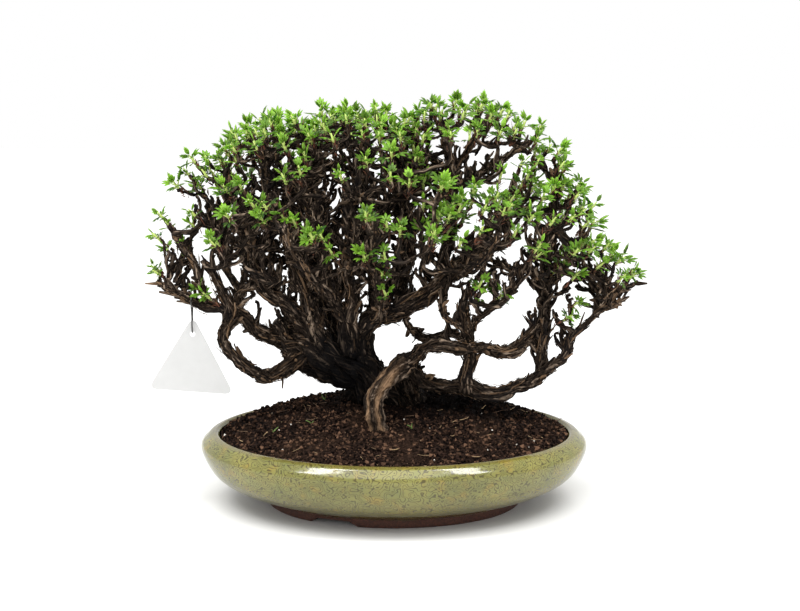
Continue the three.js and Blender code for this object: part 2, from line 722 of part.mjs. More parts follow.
function potSolid() {
  const { length, height, bellyHeight, lipRadius, footOuter, footInner, footRecess } = POT;
  const belly = length / 2;
  const outside = smooth(
    [
      [footOuter + 1, footRecess + 2],
      [belly - 27, 17],
      [belly - 10, 28],
      [belly, bellyHeight],
      [belly - 6, height - 2.5],
      [lipRadius, height],
    ],
    8,
  );
  const profile = [
    [0, footRecess],
    [footInner, footRecess],
    [footInner + 1.5, 0],
    [footOuter, 0],
    ...outside,
    ...POT_INSIDE,
    [0, POT.floorHeight],
  ];
  let pot = solidOf(ovalLathe(profile, POT.sectors));
  for (const way of [-1, 1]) {
    const hole = new THREE.CylinderGeometry(DRAIN.radius, DRAIN.radius, 2 * POT.floorHeight, DRAIN.sides);
    hole.rotateX(Math.PI / 2);
    hole.translate(way * DRAIN.offset, 0, POT.floorHeight);
    pot = pot.subtract(solidOf(hole));
    pot = pot.subtract(solidOf(footArch(way)));
  }
  return pot;
}

// A low arch through the foot ring, which lets water out from under the pot.
function footArch(way) {
  const half = ARCH.width / 2;
  const shape = new THREE.Shape();
  shape.moveTo(-half, -1);
  shape.lineTo(half, -1);
  shape.quadraticCurveTo(half - ARCH.curve, ARCH.rise, half - ARCH.shoulder, ARCH.rise);
  shape.lineTo(ARCH.shoulder - half, ARCH.rise);
  shape.quadraticCurveTo(ARCH.curve - half, ARCH.rise, -half, -1);
  const arch = new THREE.ExtrudeGeometry(shape, { depth: ARCH.depth, bevelEnabled: false, curveSegments: 4 });
  arch.translate(0, 0, -ARCH.depth / 2);
  arch.rotateX(Math.PI / 2);
  arch.rotateZ(Math.atan2(ARCH.y, ARCH.x) + Math.PI / 2);
  arch.translate(way * ARCH.x, way * ARCH.y, 0);
  return arch;
}

// A square of plastic mesh over a drainage hole.
function screenSolid(way) {
  const { size, thickness, hole, pitch, holesAcross } = SCREEN;
  let screen = solidOf(new THREE.BoxGeometry(size, size, thickness));
  for (let row = 0; row < holesAcross; row++) {
    for (let column = 0; column < holesAcross; column++) {
      const eye = new THREE.BoxGeometry(hole, hole, 3 * thickness);
      eye.translate(pitch * (column - (holesAcross - 1) / 2), pitch * (row - (holesAcross - 1) / 2), 0);
      screen = screen.subtract(solidOf(eye));
    }
  }
  return screen.translate(way * DRAIN.offset, 0, POT.floorHeight + GAP + thickness / 2);
}

// The height of the soil at a place, with its crumbs.
function soilHeight(x, y, inner) {
  const edge = POT.lipInside - GAP;
  const out = Math.hypot(x / edge, y / (edge * OVAL));
  const mound = (1 - out ** SOIL.fullness) * (1 + (SOIL.lean * y) / (edge * OVAL));
  const crumbs = Math.sin(0.41 * x + 1.3 * Math.sin(0.23 * y)) * Math.cos(0.37 * y + Math.sin(0.31 * x));
  return SOIL.edgeHeight + SOIL.rise * Math.max(0, mound) + SOIL.crumb * inner * crumbs;
}

// The soil fills the pot to just below its lip: a mound on top, and the pot's inner shape below.
function soilSolid(cuts) {
  const edge = POT.lipInside - GAP;
  const rings = [];
  const floor = POT.floorHeight + GAP;
  const ringAt = (radius, height) => {
    const ring = [];
    for (let sector = 0; sector < SOIL.sectors; sector++) {
      const angle = (2 * Math.PI * sector) / SOIL.sectors;
      const [x, y] = [radius * Math.cos(angle), radius * OVAL * Math.sin(angle)];
      ring.push(new THREE.Vector3(x, y, height(x, y)));
    }
    return ring;
  };
  const hub = 3;
  rings.push(ringAt(hub, () => floor));
  const wall = POT_INSIDE.slice(1).filter(([, z]) => z < SOIL.edgeHeight - 6).reverse();
  for (const [radius, height] of wall) {
    const inward = radius - GAP * 2.4;
    rings.push(ringAt(inward, () => Math.max(floor, height + GAP)));
  }
  rings.push(ringAt(edge - 1.5, () => SOIL.edgeHeight - 4));
  for (let ring = SOIL.rings; ring >= 1; ring--) {
    const radius = (edge - 1) * (ring / SOIL.rings) ** 0.9;
    const inner = ring === SOIL.rings ? 0.3 : 1;
    rings.push(ringAt(radius, (x, y) => soilHeight(x, y, inner)));
  }
  let soil = solidOf(closedRings(rings));
  for (const cut of cuts) soil = soil.subtract(cut);
  return soil;
}

// The pocket that a screen leaves in the soil.
function screenPocket(way) {
  const side = SCREEN.size + 4 * GAP;
  const pocket = new THREE.BoxGeometry(side, side, 2 * (SCREEN.thickness + 2 * GAP));
  pocket.translate(way * DRAIN.offset, 0, POT.floorHeight + GAP);
  return solidOf(pocket);
}

// The label: a three-cornered plate with round corners and a hole near its top.
function labelSolid() {
  const { corners, cornerRadius, hole, holeRadius, thickness, turn } = LABEL;
  const places = corners.map(([x, y]) => new THREE.Vector2(x, y));
  const shape = new THREE.Shape();
  places.forEach((corner, i) => {
    const before = places[(i + 2) % 3].clone().sub(corner).normalize();
    const after = places[(i + 1) % 3].clone().sub(corner).normalize();
    const half = Math.acos(before.dot(after)) / 2;
    const cut = cornerRadius / Math.tan(half);
    const start = corner.clone().addScaledVector(before, cut);
    const end = corner.clone().addScaledVector(after, cut);
    if (i === 0) shape.moveTo(start.x, start.y);
    else shape.lineTo(start.x, start.y);
    shape.quadraticCurveTo(corner.x, corner.y, end.x, end.y);
  });
  const eye = new THREE.Path();
  eye.absarc(0, 0, holeRadius, 0, 2 * Math.PI, false);
  shape.holes.push(eye);
  const plate = new THREE.ExtrudeGeometry(shape, { depth: thickness, bevelEnabled: false, curveSegments: 4 });
  plate.translate(0, 0, -thickness / 2);
  plate.rotateX(Math.PI / 2);
  plate.rotateY(turn);
  plate.translate(...hole);
  return solidOf(plate);
}

// The wire: one long closed link, through the label's hole and over the branch.
function wireSolid() {
  const [x, y, holeHeight] = LABEL.hole;
  const [branchX, branchY, branchHeight] = WIRE.branch;
  const { radius, reach, over, sides, slack } = WIRE;
  const low = holeHeight + LABEL.holeRadius - radius - GAP;
  const front = [
    [x, y - 0.7 * slack, low + 1.6],
    [x, y - slack, low + 6],
    [x, y - slack, low + 15],
    [branchX, branchY - reach, branchHeight - 1],
    [branchX, branchY - 0.6 * reach, branchHeight + 0.85 * over],
  ];
  const back = front.map(([fx, fy, fz]) => [fx, 2 * y - fy, fz]).reverse();
  const route = [[x, y, low], ...front, [branchX, branchY, branchHeight + over], ...back];
  const curve = new THREE.CatmullRomCurve3(route.map(vector), true, "catmullrom", 0.5);
  const count = 2 * route.length;
  const sideways = new THREE.Vector3(1, 0, 0);
  const positions = [];
  const index = [];
  for (let i = 0; i < count; i++) {
    const centre = curve.getPoint(i / count);
    const outward = curve.getTangent(i / count).cross(sideways);
    for (let side = 0; side < sides; side++) {
      const angle = (2 * Math.PI * side) / sides;
      const place = centre
        .clone()
        .addScaledVector(sideways, radius * Math.cos(angle))
        .addScaledVector(outward, radius * Math.sin(angle));
      positions.push(...place.toArray());
      const a = i * sides + side;
      const b = i * sides + ((side + 1) % sides);
      const [c, d] = [(a + sides) % (count * sides), (b + sides) % (count * sides)];
      index.push(a, b, d, a, d, c);
    }
  }
  const geometry = new THREE.BufferGeometry();
  geometry.setAttribute("position", new THREE.Float32BufferAttribute(positions, 3));
  geometry.setIndex(index);
  return solidOf(geometry);
}

// The tree is worked out first: limbs, twigs, stubs, and then the shoots with their leaves.
const draw = seededDraws(SEED);
const nodes = Object.values(LIMBS).flatMap((route) => sampleRoute(route));
const limbNodes = nodes.length;
const twigs = growTwigs(TIPS, nodes, draw);
const bareTwigs = growTwigs(BARE_TIPS, nodes, draw);
const spurs = growSpurs(nodes.slice(0, limbNodes), draw);
for (const spur of spurs) nodes.push(...sampleRoute(spur, SPUR.section));

const wood = joined([
  ...Object.values(LIMBS).map((route) => limbSolid(route)),
  ...[...twigs, ...bareTwigs].map(({ route }) => limbSolid(route, TWIG.section)),
  ...spurs.map((route) => limbSolid(route, SPUR.section)),
]);

const taken = [];
const sprays = [];
for (const twig of twigs) sprays[twig.order] = growShoot(twig, nodes, taken, draw);

const rootHoles = ROOTS.map((route) => limbSolid(route, sectionOf(route), 2 * GAP));

const bonsai = new THREE.Group();
bonsai.add(named("pot", potSolid(), "glaze"));
bonsai.add(named("drain_screen_left", screenSolid(-1), "screen"));
bonsai.add(named("drain_screen_right", screenSolid(1), "screen"));
bonsai.add(named("soil", soilSolid([...rootHoles, screenPocket(-1), screenPocket(1)]), "soil"));
bonsai.add(named("wood", wood, "bark"));
sprays.forEach((solid, i) => {
  bonsai.add(named("spray_" + String(i + 1).padStart(2, "0"), solid, "leaf"));
});
bonsai.add(named("label_plate", labelSolid(), "label"));
bonsai.add(named("label_wire", wireSolid(), "wire"));

export default bonsai;
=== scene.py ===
# %% [markdown]
# # A shrubby cinquefoil bonsai, dressed
#
# The plant stands in a low oval pot with a mottled green glaze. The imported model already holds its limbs,
# its leafy sprays and the pot at their real size. This lesson keeps those places and gives every piece the
# finish that the eye expects: shredding bark, five-fingered leaves, crumbling soil and wet-looking glaze.

import bpy
import numpy as np
from mathutils import Euler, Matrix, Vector


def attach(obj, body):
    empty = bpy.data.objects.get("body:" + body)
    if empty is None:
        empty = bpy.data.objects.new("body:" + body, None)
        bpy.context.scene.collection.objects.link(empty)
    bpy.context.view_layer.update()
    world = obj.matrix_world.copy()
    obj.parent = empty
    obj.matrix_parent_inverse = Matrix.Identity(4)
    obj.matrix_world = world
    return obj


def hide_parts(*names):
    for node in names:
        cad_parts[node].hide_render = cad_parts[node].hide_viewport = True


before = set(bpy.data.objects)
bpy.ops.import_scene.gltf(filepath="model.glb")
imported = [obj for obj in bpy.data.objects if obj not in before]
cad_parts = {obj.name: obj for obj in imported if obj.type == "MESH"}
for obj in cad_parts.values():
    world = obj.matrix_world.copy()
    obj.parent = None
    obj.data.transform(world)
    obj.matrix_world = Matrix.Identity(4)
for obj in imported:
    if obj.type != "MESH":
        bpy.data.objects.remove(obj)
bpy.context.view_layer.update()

# %% [markdown]
# ## The camera comes first
#
# The photograph looks at the front from about a metre and a half, a little from above. A long lens keeps
# the oval of the pot flat. Setting the camera before any modelling means each test render can be laid
# beside the photograph.

# %% Camera
MM = 0.001
CAMERA_PLACE = (5, -1500, 440)
CAMERA_PITCH = 10.4
LENS = 83.5
SENSOR_WIDTH = 36

camera_data = bpy.data.cameras.new("camera")
camera_data.lens = LENS
camera_data.sensor_width = SENSOR_WIDTH
camera = bpy.data.objects.new("camera", camera_data)
camera.location = Vector(CAMERA_PLACE) * MM
camera.rotation_euler = Euler((np.radians(90 - CAMERA_PITCH), 0, 0))
bpy.context.scene.collection.objects.link(camera)
bpy.context.scene.camera = camera
print("camera at", tuple(camera.location), "lens", LENS)

# %% [markdown]
# ## Helpers for meshes
#
# Every piece is worked out as whole numpy arrays in millimetres and turned into metres once, when the mesh
# is written. A part is three things: points, lists of faces, and traits. A trait is one number or one
# vector for each point, and the materials read it back as an attribute.

# %% Mesh helpers
def joined(parts):
    """Several parts as one: the points are stacked, and each part's faces count on from those before."""
    points, faces, traits, before = [], [], {}, 0
    for part_points, part_faces, part_traits in parts:
        points.append(part_points)
        faces += [face + before for face in part_faces]
        for trait, values in part_traits.items():
            traits.setdefault(trait, []).append(values)
        before += len(part_points)
    return np.vstack(points), faces, {trait: np.concatenate(values) for trait, values in traits.items()}


def piece(name, part, material, smooth=True):
    """Writes a part, in millimetres, into a new mesh object in metres, and rides it on the root body."""
    points, faces, traits = part
    mesh = bpy.data.meshes.new(name)
    corners = np.concatenate([face.ravel() for face in faces])
    sizes = np.concatenate([np.full(len(face), face.shape[1]) for face in faces])
    mesh.vertices.add(len(points))
    mesh.vertices.foreach_set("co", (points * MM).astype(np.float32).ravel())
    mesh.loops.add(len(corners))
    mesh.loops.foreach_set("vertex_index", corners.astype(np.int32))
    mesh.polygons.add(len(sizes))
    mesh.polygons.foreach_set("loop_start", (np.cumsum(sizes) - sizes).astype(np.int32))
    mesh.polygons.foreach_set("use_smooth", np.full(len(sizes), smooth))
    for trait, values in traits.items():
        vector = values.ndim == 2
        layer = mesh.attributes.new(trait, "FLOAT_VECTOR" if vector else "FLOAT", "POINT")
        layer.data.foreach_set("vector" if vector else "value", values.astype(np.float32).ravel())
    mesh.update(calc_edges=True)
    mesh.validate()
    mesh.materials.append(material)
    made = bpy.data.objects.new(name, mesh)
    bpy.context.scene.collection.objects.link(made)
    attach(made, "root")
    print(f"{name}: {len(points)} points, {int((sizes - 2).sum())} triangles")
    return made


def grid_faces(rows, columns, closed=True):
    """Quads between neighbouring rows of a grid. A closed one also joins its last column to its first."""
    row = np.arange(rows - 1)[:, None]
    column = np.arange(columns if closed else columns - 1)[None]
    after = (column + 1) % columns
    corners = [row * columns + column, row * columns + after]
    corners += [corner + columns for corner in corners[::-1]]
    return np.stack(corners, axis=-1).reshape(-1, 4)


def closed_grid(rows, columns):
    """The faces of a closed grid with a disc at each end."""
    disc = np.arange(columns)[None]
    return [grid_faces(rows, columns), disc[:, ::-1], disc + (rows - 1) * columns]


def repeated(faces, copies, points):
    """The same faces for each of several copies that follow each other, each with that many points."""
    return (faces[None] + points * np.arange(copies)[:, None, None]).reshape(-1, faces.shape[1])


def unit(vectors):
    """Each vector divided by its own length."""
    return vectors / np.maximum(np.linalg.norm(vectors, axis=-1, keepdims=True), 1e-9)


def round_angles(count):
    """The angles of that many points spread evenly round a circle."""
    return 2 * np.pi * np.arange(count) / count


def outward(angle, normal, binormal):
    """The direction at an angle round a path: cos a normal + sin a binormal."""
    return np.cos(angle) * normal + np.sin(angle) * binormal


def path_frames(centres):
    """Tangent, normal and binormal along each path of a batch.

    The normal starts as the direction in which the whole path spreads least, so that no tangent runs
    along it, and is then made square to the tangent at each point. The binormal is tangent times normal.
    """
    tangents = unit(np.gradient(centres, axis=1))
    spread = centres - centres.mean(axis=1, keepdims=True)
    flat = np.linalg.svd(spread, full_matrices=False)[2][:, -1]
    flat = flat * np.where(flat[:, 1:2] < 0, -1, 1)
    flat = flat[:, None]
    normals = unit(flat - (flat * tangents).sum(-1, keepdims=True) * tangents)
    return tangents, normals, np.cross(tangents, normals)


def tubes(centres, radii, sides, normals, binormals):
    """A batch of closed tubes. A point is its centre plus radius times (cos a normal + sin a binormal).

    centres is batch by rings by 3, and radii is batch by rings, or batch by rings by sides where it is
    fluted.
    """
    batch, rings = centres.shape[:2]
    radii = radii.reshape(batch, rings, -1, 1)
    around = outward(round_angles(sides)[:, None], normals[:, :, None], binormals[:, :, None])
    points = centres[:, :, None] + radii * around
    faces = [repeated(face, batch, rings * sides) for face in closed_grid(rings, sides)]
    return points.reshape(-1, 3), faces


# Every draw starts from one of these, so each run makes the same plant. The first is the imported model's own.
SEEDS = {
    "packed": 20251, "soil": 7, "crown": 11, "twigs": 3, "stubs": 5, "strips": 9, "flakes": 19, "scales": 13,
    "leaves": 17,
}
NOISE_TABLE = (97, 89)
NOISE_SHIFT = 500


def lumps(x, y, size, seed):
    """Value noise from 0 to 1: random heights at the corners of squares of that size, eased in between.

    The easing is u squared times (3 - 2u). The shift keeps every place on the positive side of the table.
    """
    table = np.random.default_rng(seed).random(NOISE_TABLE)
    column, row = x / size + NOISE_SHIFT, y / size + NOISE_SHIFT
    left, low = np.floor(column).astype(int), np.floor(row).astype(int)
    u, v = column - left, row - low
    u, v = u * u * (3 - 2 * u), v * v * (3 - 2 * v)

    def between(j):
        """The heights along one edge of the squares."""
        ends = [table[(left + i) % NOISE_TABLE[0], (low + j) % NOISE_TABLE[1]] for i in (0, 1)]
        return ends[0] * (1 - u) + ends[1] * u

    return between(0) * (1 - v) + between(1) * v


def smooth_path(points, places, clamped=False):
    """A smooth curve through the points, at places from 0 to 1 along their list.

    Between two points it is the cubic whose slope at each is half the step between that point's neighbours.
    Beyond each end the list goes on by the last step again, or by the end point itself where it is clamped.
    """
    points = np.asarray(points, float)
    before = points[0] if clamped else 2 * points[0] - points[1]
    after = points[-1] if clamped else 2 * points[-1] - points[-2]
    padded = np.vstack([before, points, after])
    along = np.clip(places, 0, 1) * (len(points) - 1)
    span = np.minimum(along.astype(int), len(points) - 2)
    t = (along - span)[:, None]
    p0, p1, p2, p3 = (padded[span + k] for k in range(4))
    return p1 + t / 2 * (p2 - p0 + t * (2 * p0 - 5 * p1 + 4 * p2 - p3 + t * (3 * (p1 - p2) + p3 - p0)))


# %% [markdown]
# ## Helpers for materials
#
# Colours are given as sRGB hex values, and Blender's shaders want linear light, so one function
# turns them. One small function adds a node with its settings and its links. Patterns are in millimetres: a
# noise of scale 1000 / 4 on coordinates in metres has features about four millimetres wide.

# %% Material helpers
def linear(colour):
    """An sRGB hex colour as linear light: the low end divided by 12.92, the rest raised to a power of 2.4."""
    channels = np.array([int(colour[i : i + 2], 16) for i in (1, 3, 5)]) / 255
    light = np.where(channels <= 0.04045, channels / 12.92, ((channels + 0.055) / 1.055) ** 2.4)
    return (*light, 1.0)


def new_material(name, **sockets):
    """A material, its tree and its shader with constant sockets set, where underscores stand for spaces."""
    made = bpy.data.materials.new(name)
    made.use_nodes = True
    tree = made.node_tree
    shader = tree.nodes["Principled BSDF"]
    for socket, value in sockets.items():
        shader.inputs[socket.replace("_", " ")].default_value = value
    return made, tree, shader


def node(tree, kind, settings=None, links=None):
    """Adds a node. A setting is one of its properties or, by name or number, one of its input sockets."""
    made = tree.nodes.new("ShaderNode" + kind)
    for key, value in (settings or {}).items():
        if isinstance(key, str) and hasattr(made, key):
            setattr(made, key, value)
        else:
            made.inputs[key].default_value = value
    for key, source in (links or {}).items():
        tree.links.new(source, made.inputs[key])
    return made


def place_on(tree):
    """Where a point lies on the object, in metres."""
    return node(tree, "TexCoord").outputs["Object"]


def trait_of(tree, name):
    """A trait of the mesh, as one number."""
    return node(tree, "Attribute", {"attribute_name": name}).outputs["Fac"]


def maths(tree, operation, *values):
    """One step of arithmetic. Each value is a number or another node's output."""
    made = node(tree, "Math", {"operation": operation})
    for socket, value in enumerate(values):
        if isinstance(value, (int, float)):
            made.inputs[socket].default_value = value
        else:
            tree.links.new(value, made.inputs[socket])
    return made.outputs[0]


def blended(tree, factor, first, second):
    """Mixes two colours by a factor. A colour is a hex value or another node's output."""
    mix = node(tree, "Mix", {"data_type": "RGBA"}, {0: factor})
    for socket, colour in ((6, first), (7, second)):
        if isinstance(colour, str):
            mix.inputs[socket].default_value = linear(colour)
        else:
            tree.links.new(colour, mix.inputs[socket])
    return mix.outputs[2]


def stretched(tree, value, low, high, to_low=0.0, to_high=1.0):
    """Maps low..high onto to_low..to_high, and holds it there outside."""
    settings = {"From Min": low, "From Max": high, "To Min": to_low, "To Max": to_high}
    return node(tree, "MapRange", settings, {"Value": value}).outputs[0]


def noise(tree, coordinates, size, detail=2.0, distortion=0.0, roughness=0.5):
    """Noise whose features are about that many millimetres wide, on coordinates in metres."""
    settings = {"Scale": 1 / (size * MM), "Detail": detail, "Distortion": distortion, "Roughness": roughness}
    return node(tree, "TexNoise", settings, {"Vector": coordinates}).outputs["Fac"]


def near_to(tree, place, spot):
    """The spot's strength within its full distance, 0 beyond its last one, and a straight fall between."""
    centre = Vector(spot["centre"]) * MM
    away = node(tree, "VectorMath", {"operation": "DISTANCE", 1: centre}, {0: place}).outputs["Value"]
    near = stretched(tree, away, spot["full"] * MM, spot["last"] * MM, 1, 0)
    return maths(tree, "MULTIPLY", near, spot["most"])


def bumped(tree, shader, height, depth):
    """Reads a height from 0 to 1 as a relief that many millimetres deep, and gives it to the shader."""
    bump = node(tree, "Bump", {"Distance": depth * MM, "Strength": 1.0}, {"Height": height})
    tree.links.new(bump.outputs[0], shader.inputs["Normal"])


def mottled(name, size, colours, mixing, relief, roughness=None, **sockets):
    """A plain finish from one noise of that size: it mixes two colours and gives a relief that deep.

    mixing is how the noise is stretched to mix the colours. Where roughness is given, it is stretched to
    that too.
    """
    made, tree, shader = new_material(name, **sockets)
    mottle = noise(tree, place_on(tree), size, detail=3.0)
    tree.links.new(blended(tree, stretched(tree, mottle, *mixing), *colours), shader.inputs["Base Color"])
    if roughness:
        tree.links.new(stretched(tree, mottle, *roughness), shader.inputs["Roughness"])
    bumped(tree, shader, mottle, relief)
    return made


# %% [markdown]
# ## Glaze
#
# The pot is stoneware with a glossy ash glaze. As it cooled it broke into fine curly lines, darker than the
# olive around them, with ochre spots where it ran thick, and it is darker and browner towards the foot. The
# curly lines are contours of a noise field: the field is multiplied by seven, and every place where what is
# left after the whole number is close to one half is a line. The foot was wiped clean before firing, so
# below the glaze line it shows bare red-brown clay. The real lines are half a millimetre wide. They are
# drawn almost twice that, so that they show.

# %% Glaze material
FOOT_BROWN = (36 * MM, 9 * MM)
LIP_BROWN = (58.5 * MM, 60 * MM)
GLAZE_LINE = (8.2 * MM, 6.8 * MM)
GLAZE_WAVER = 4 * MM
CURLS = 7.0


def glazed_stoneware():
    """Glaze over clay: lines where the fraction of 7 times a noise is near one half, on clouded olive."""
    made, tree, shader = new_material("ash_glaze_on_stoneware", IOR=1.52, Specular_IOR_Level=0.55)
    place = place_on(tree)
    height = node(tree, "SeparateXYZ", links={0: place}).outputs["Z"]
    flat = node(tree, "Mapping", {"Scale": (1, 1, 1.25)}, {"Vector": place}).outputs[0]
    field = noise(tree, flat, 6.2, detail=0.3, distortion=0.35)
    level = maths(tree, "FRACT", maths(tree, "MULTIPLY", field, CURLS))
    away = maths(tree, "ABSOLUTE", maths(tree, "SUBTRACT", level, 0.5))
    line = stretched(tree, away, 0.07, 0.2, 1.0, 0.0)
    broad = noise(tree, flat, 38, detail=3.0)
    colour = blended(tree, stretched(tree, broad, 0.38, 0.62), "#6d6b35", "#7f7a3c")
    cloud = noise(tree, flat, 12, detail=2.0, distortion=0.4)
    colour = blended(tree, stretched(tree, cloud, 0.55, 0.72, 0, 0.7), colour, "#8a7530")
    colour = blended(tree, stretched(tree, cloud, 0.46, 0.3, 0, 0.3), colour, "#66703f")
    colour = blended(tree, maths(tree, "MULTIPLY", line, 0.8), colour, "#352c0e")
    colour = blended(tree, stretched(tree, height, *FOOT_BROWN, 0, 0.93), colour, "#40361d")
    colour = blended(tree, stretched(tree, height, *LIP_BROWN, 0, 0.55), colour, "#5f5029")
    waver = maths(tree, "MULTIPLY_ADD", noise(tree, place, 22), GLAZE_WAVER, -GLAZE_WAVER / 2)
    bare = stretched(tree, maths(tree, "ADD", waver, height), *GLAZE_LINE)
    grit = noise(tree, place, 1.2, detail=3.0)
    clay = blended(tree, stretched(tree, grit, 0.35, 0.65), "#2d1810", "#5a3324")
    tree.links.new(blended(tree, bare, colour, clay), shader.inputs["Base Color"])
    tree.links.new(stretched(tree, bare, 0, 1, 0.13, 0.8), shader.inputs["Roughness"])
    bumped(tree, shader, field, 0.12)
    return made


GLAZE = glazed_stoneware()
print("made", GLAZE.name)

# %% [markdown]
# ## The pot
#
# The real pot was thrown round and pressed into an oval. So the surface is a profile turned about the
# upright axis, with the turn shortened across. The profile runs from the middle of the underside, down into
# the foot ring, out round the belly, over the lip and down inside. Two low arches let water out from under
# the foot: there the bottom of the ring is lifted by a smooth bump of the angle, which needs no cutting.

# %% Pot
POT = {
    "length": 320,
    "width": 256,
    "height": 60,
    "belly_height": 48,
    "lip_radius": 148,
    "lip_inside": 145,
    "floor_height": 13,
    "foot_outer": 105,
    "foot_inner": 89,
    "foot_recess": 5,
}
OVAL = POT["width"] / POT["length"]
DRAIN = {"offset": 50, "radius": 9}
ARCH = {"x": 49, "y": 74, "half_width": 19, "rise": 4.5}


def oval_surface(profile, sectors):
    """A profile of (radius, height) turned about Z: x = r cos a, y = oval r sin a, z = height."""
    angle = round_angles(sectors)
    radius, height = profile[:, :1], profile[:, 1:]
    x, y = radius * np.cos(angle), radius * OVAL * np.sin(angle)
    return np.stack([x, y, np.broadcast_to(height, x.shape)], axis=-1)


def pot_profile():
    """The pot's section from the middle of its underside to the middle of its floor."""
    belly, lip = POT["length"] / 2, POT["lip_inside"]
    outside = [(POT["foot_outer"] + 1, 7), (belly - 27, 17), (belly - 10, 28), (belly, POT["belly_height"])]
    outside += [(belly - 6, POT["height"] - 2.5), (POT["lip_radius"], POT["height"])]
    inside = [(lip, POT["height"] - 2), (lip + 4, POT["belly_height"]), (lip, POT["floor_height"] + 21)]
    inside += [(lip - 22, POT["floor_height"] + 7), (POT["foot_outer"] - 10, POT["floor_height"])]
    under = [(2, POT["foot_recess"]), (60, POT["foot_recess"]), (POT["foot_inner"], POT["foot_recess"])]
    foot = [(POT["foot_inner"] + 0.6, 3), (POT["foot_inner"] + 1.5, 0.6), (POT["foot_inner"] + 2.6, 0)]
    foot += [(POT["foot_outer"] - 1.2, 0), (POT["foot_outer"] - 0.2, 0.7), (POT["foot_outer"], 3)]
    outside = smooth_path(outside, np.linspace(0, 1, 40), clamped=True)
    inside = smooth_path(inside, np.linspace(0, 1, 20), clamped=True)
    lip_turn = [(POT["lip_radius"] - 1.6, POT["height"] - 0.15)]
    floor = [(60, POT["floor_height"]), (2, POT["floor_height"])]
    return np.vstack([under, foot, outside, lip_turn, inside, floor])


def pot_part(sectors=180):
    """The turned surface, with a small disc at each pole, and the foot lifted at the two arches.

    The lift is the arch's rise times 1.5 times (1 - d to the fourth), held between 0 and 1, where d is
    the way from the middle of the arch in half widths.
    """
    grid = oval_surface(pot_profile(), sectors)
    off = np.hypot(grid[..., 0], grid[..., 1])
    way = np.arctan2(ARCH["y"], ARCH["x"])
    angle = np.arctan2(grid[..., 1], grid[..., 0])
    from_arch = np.abs((angle - way + np.pi / 2) % np.pi - np.pi / 2) * off / ARCH["half_width"]
    lift = ARCH["rise"] * np.clip(1.5 * (1 - from_arch**4), 0, 1) * (grid[..., 2] < POT["foot_recess"] - 0.01)
    grid[..., 2] = np.maximum(grid[..., 2], lift)
    return grid.reshape(-1, 3), closed_grid(len(grid), sectors), {}


HOLE_SIDES = 48


def with_holes(body, holes):
    """Cuts upright round holes through a piece, by a boolean that is applied at once."""
    cutters = []
    for x, y, radius in holes:
        angle = round_angles(HOLE_SIDES)
        ring = np.stack([x + radius * np.cos(angle), y + radius * np.sin(angle), 0 * angle], axis=-1)
        points = np.vstack([ring, ring + (0, 0, 2 * POT["floor_height"])])
        cutters.append((points, closed_grid(2, HOLE_SIDES), {}))
    cutter = piece("cutter", joined(cutters), GLAZE)
    cut = body.modifiers.new("holes", "BOOLEAN")
    cut.operation, cut.solver, cut.object = "DIFFERENCE", "EXACT", cutter
    result = bpy.data.meshes.new_from_object(body.evaluated_get(bpy.context.evaluated_depsgraph_get()))
    body.modifiers.clear()
    body.data = result
    bpy.data.objects.remove(cutter)
    body.data.set_sharp_from_angle(angle=np.radians(50))


pot = piece("pot_body", pot_part(), GLAZE)
with_holes(pot, [(way * DRAIN["offset"], 0, DRAIN["radius"]) for way in (-1, 1)])
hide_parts("pot")

# %% [markdown]
# ## Drainage mesh
#
# Squares of black polypropylene mesh lie over the drainage holes. They are plain moulded plastic, so the
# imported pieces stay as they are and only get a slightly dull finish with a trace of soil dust.

# %% Drainage mesh material
POLYPROPYLENE = mottled("black_polypropylene", 3, ("#1b1c1d", "#3a2c22"), (0.5, 0.7, 0, 0.6), 0.05,
                        roughness=(0.4, 0.7, 0.45, 0.9), IOR=1.49)
for side in ("left", "right"):
    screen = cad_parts["drain_screen_" + side]
    screen.data.materials.clear()
    screen.data.materials.append(POLYPROPYLENE)
print("drainage mesh dressed")

# %% [markdown]
# ## Soil
#
# The potting soil is peat and fine bark, from brown to nearly black. One relief can't show loose crumbs,
# so there are two layers: a mound whose height is a formula with three sizes of lumps, and eleven thousand
# crumbs lying on it. Behind the trunk the soil is painted darkest, as painted shade. Bits of white perlite,
# straw and a few sprouts break up the brown, as in any real pot.

# %% Soil material
SOIL_PAINTED_SHADE = {"centre": (32, 62, 68), "full": 64, "last": 108, "most": 0.93}


def peat_soil():
    """Grain from black to brown, paler patches, crumbs by their own tone, and a painted shade spot darkest."""
    made, tree, shader = new_material("peat_and_bark_soil", Roughness=0.95, Specular_IOR_Level=0.05)
    place = place_on(tree)
    tone = trait_of(tree, "tone")
    grain = noise(tree, place, 2.4, detail=4.0, roughness=0.65)
    patch = noise(tree, place, 40, detail=2.0)
    colour = blended(tree, stretched(tree, grain, 0.44, 0.64), "#020101", "#33251e")
    colour = blended(tree, stretched(tree, patch, 0.5, 0.7, 0, 0.3), colour, "#3b2c22")
    colour = blended(tree, stretched(tree, tone, 0.55, 1.0, 0, 0.85), colour, "#765946")
    # Painted shade: the soil behind the trunk is darkened to near black.
    colour = blended(tree, near_to(tree, place, SOIL_PAINTED_SHADE), colour, "#050303")
    tree.links.new(colour, shader.inputs["Base Color"])
    bumped(tree, shader, grain, 0.7)
    return made


SOIL_MATERIAL = peat_soil()
print("made", SOIL_MATERIAL.name)

# %% Soil mound
SOIL = {"edge_height": 58, "rise": 22, "fullness": 2.4, "lean": 0.6}
SOIL_EDGE = POT["lip_inside"] - 0.3
# Radius and height down the pot's inner wall, and in to the middle of its floor.
SOIL_SKIRT = [(SOIL_EDGE - 1, 53), (146.5, 48), (143, 34), (121.5, 20.5), (94, 13.4), (2, 13.4)]


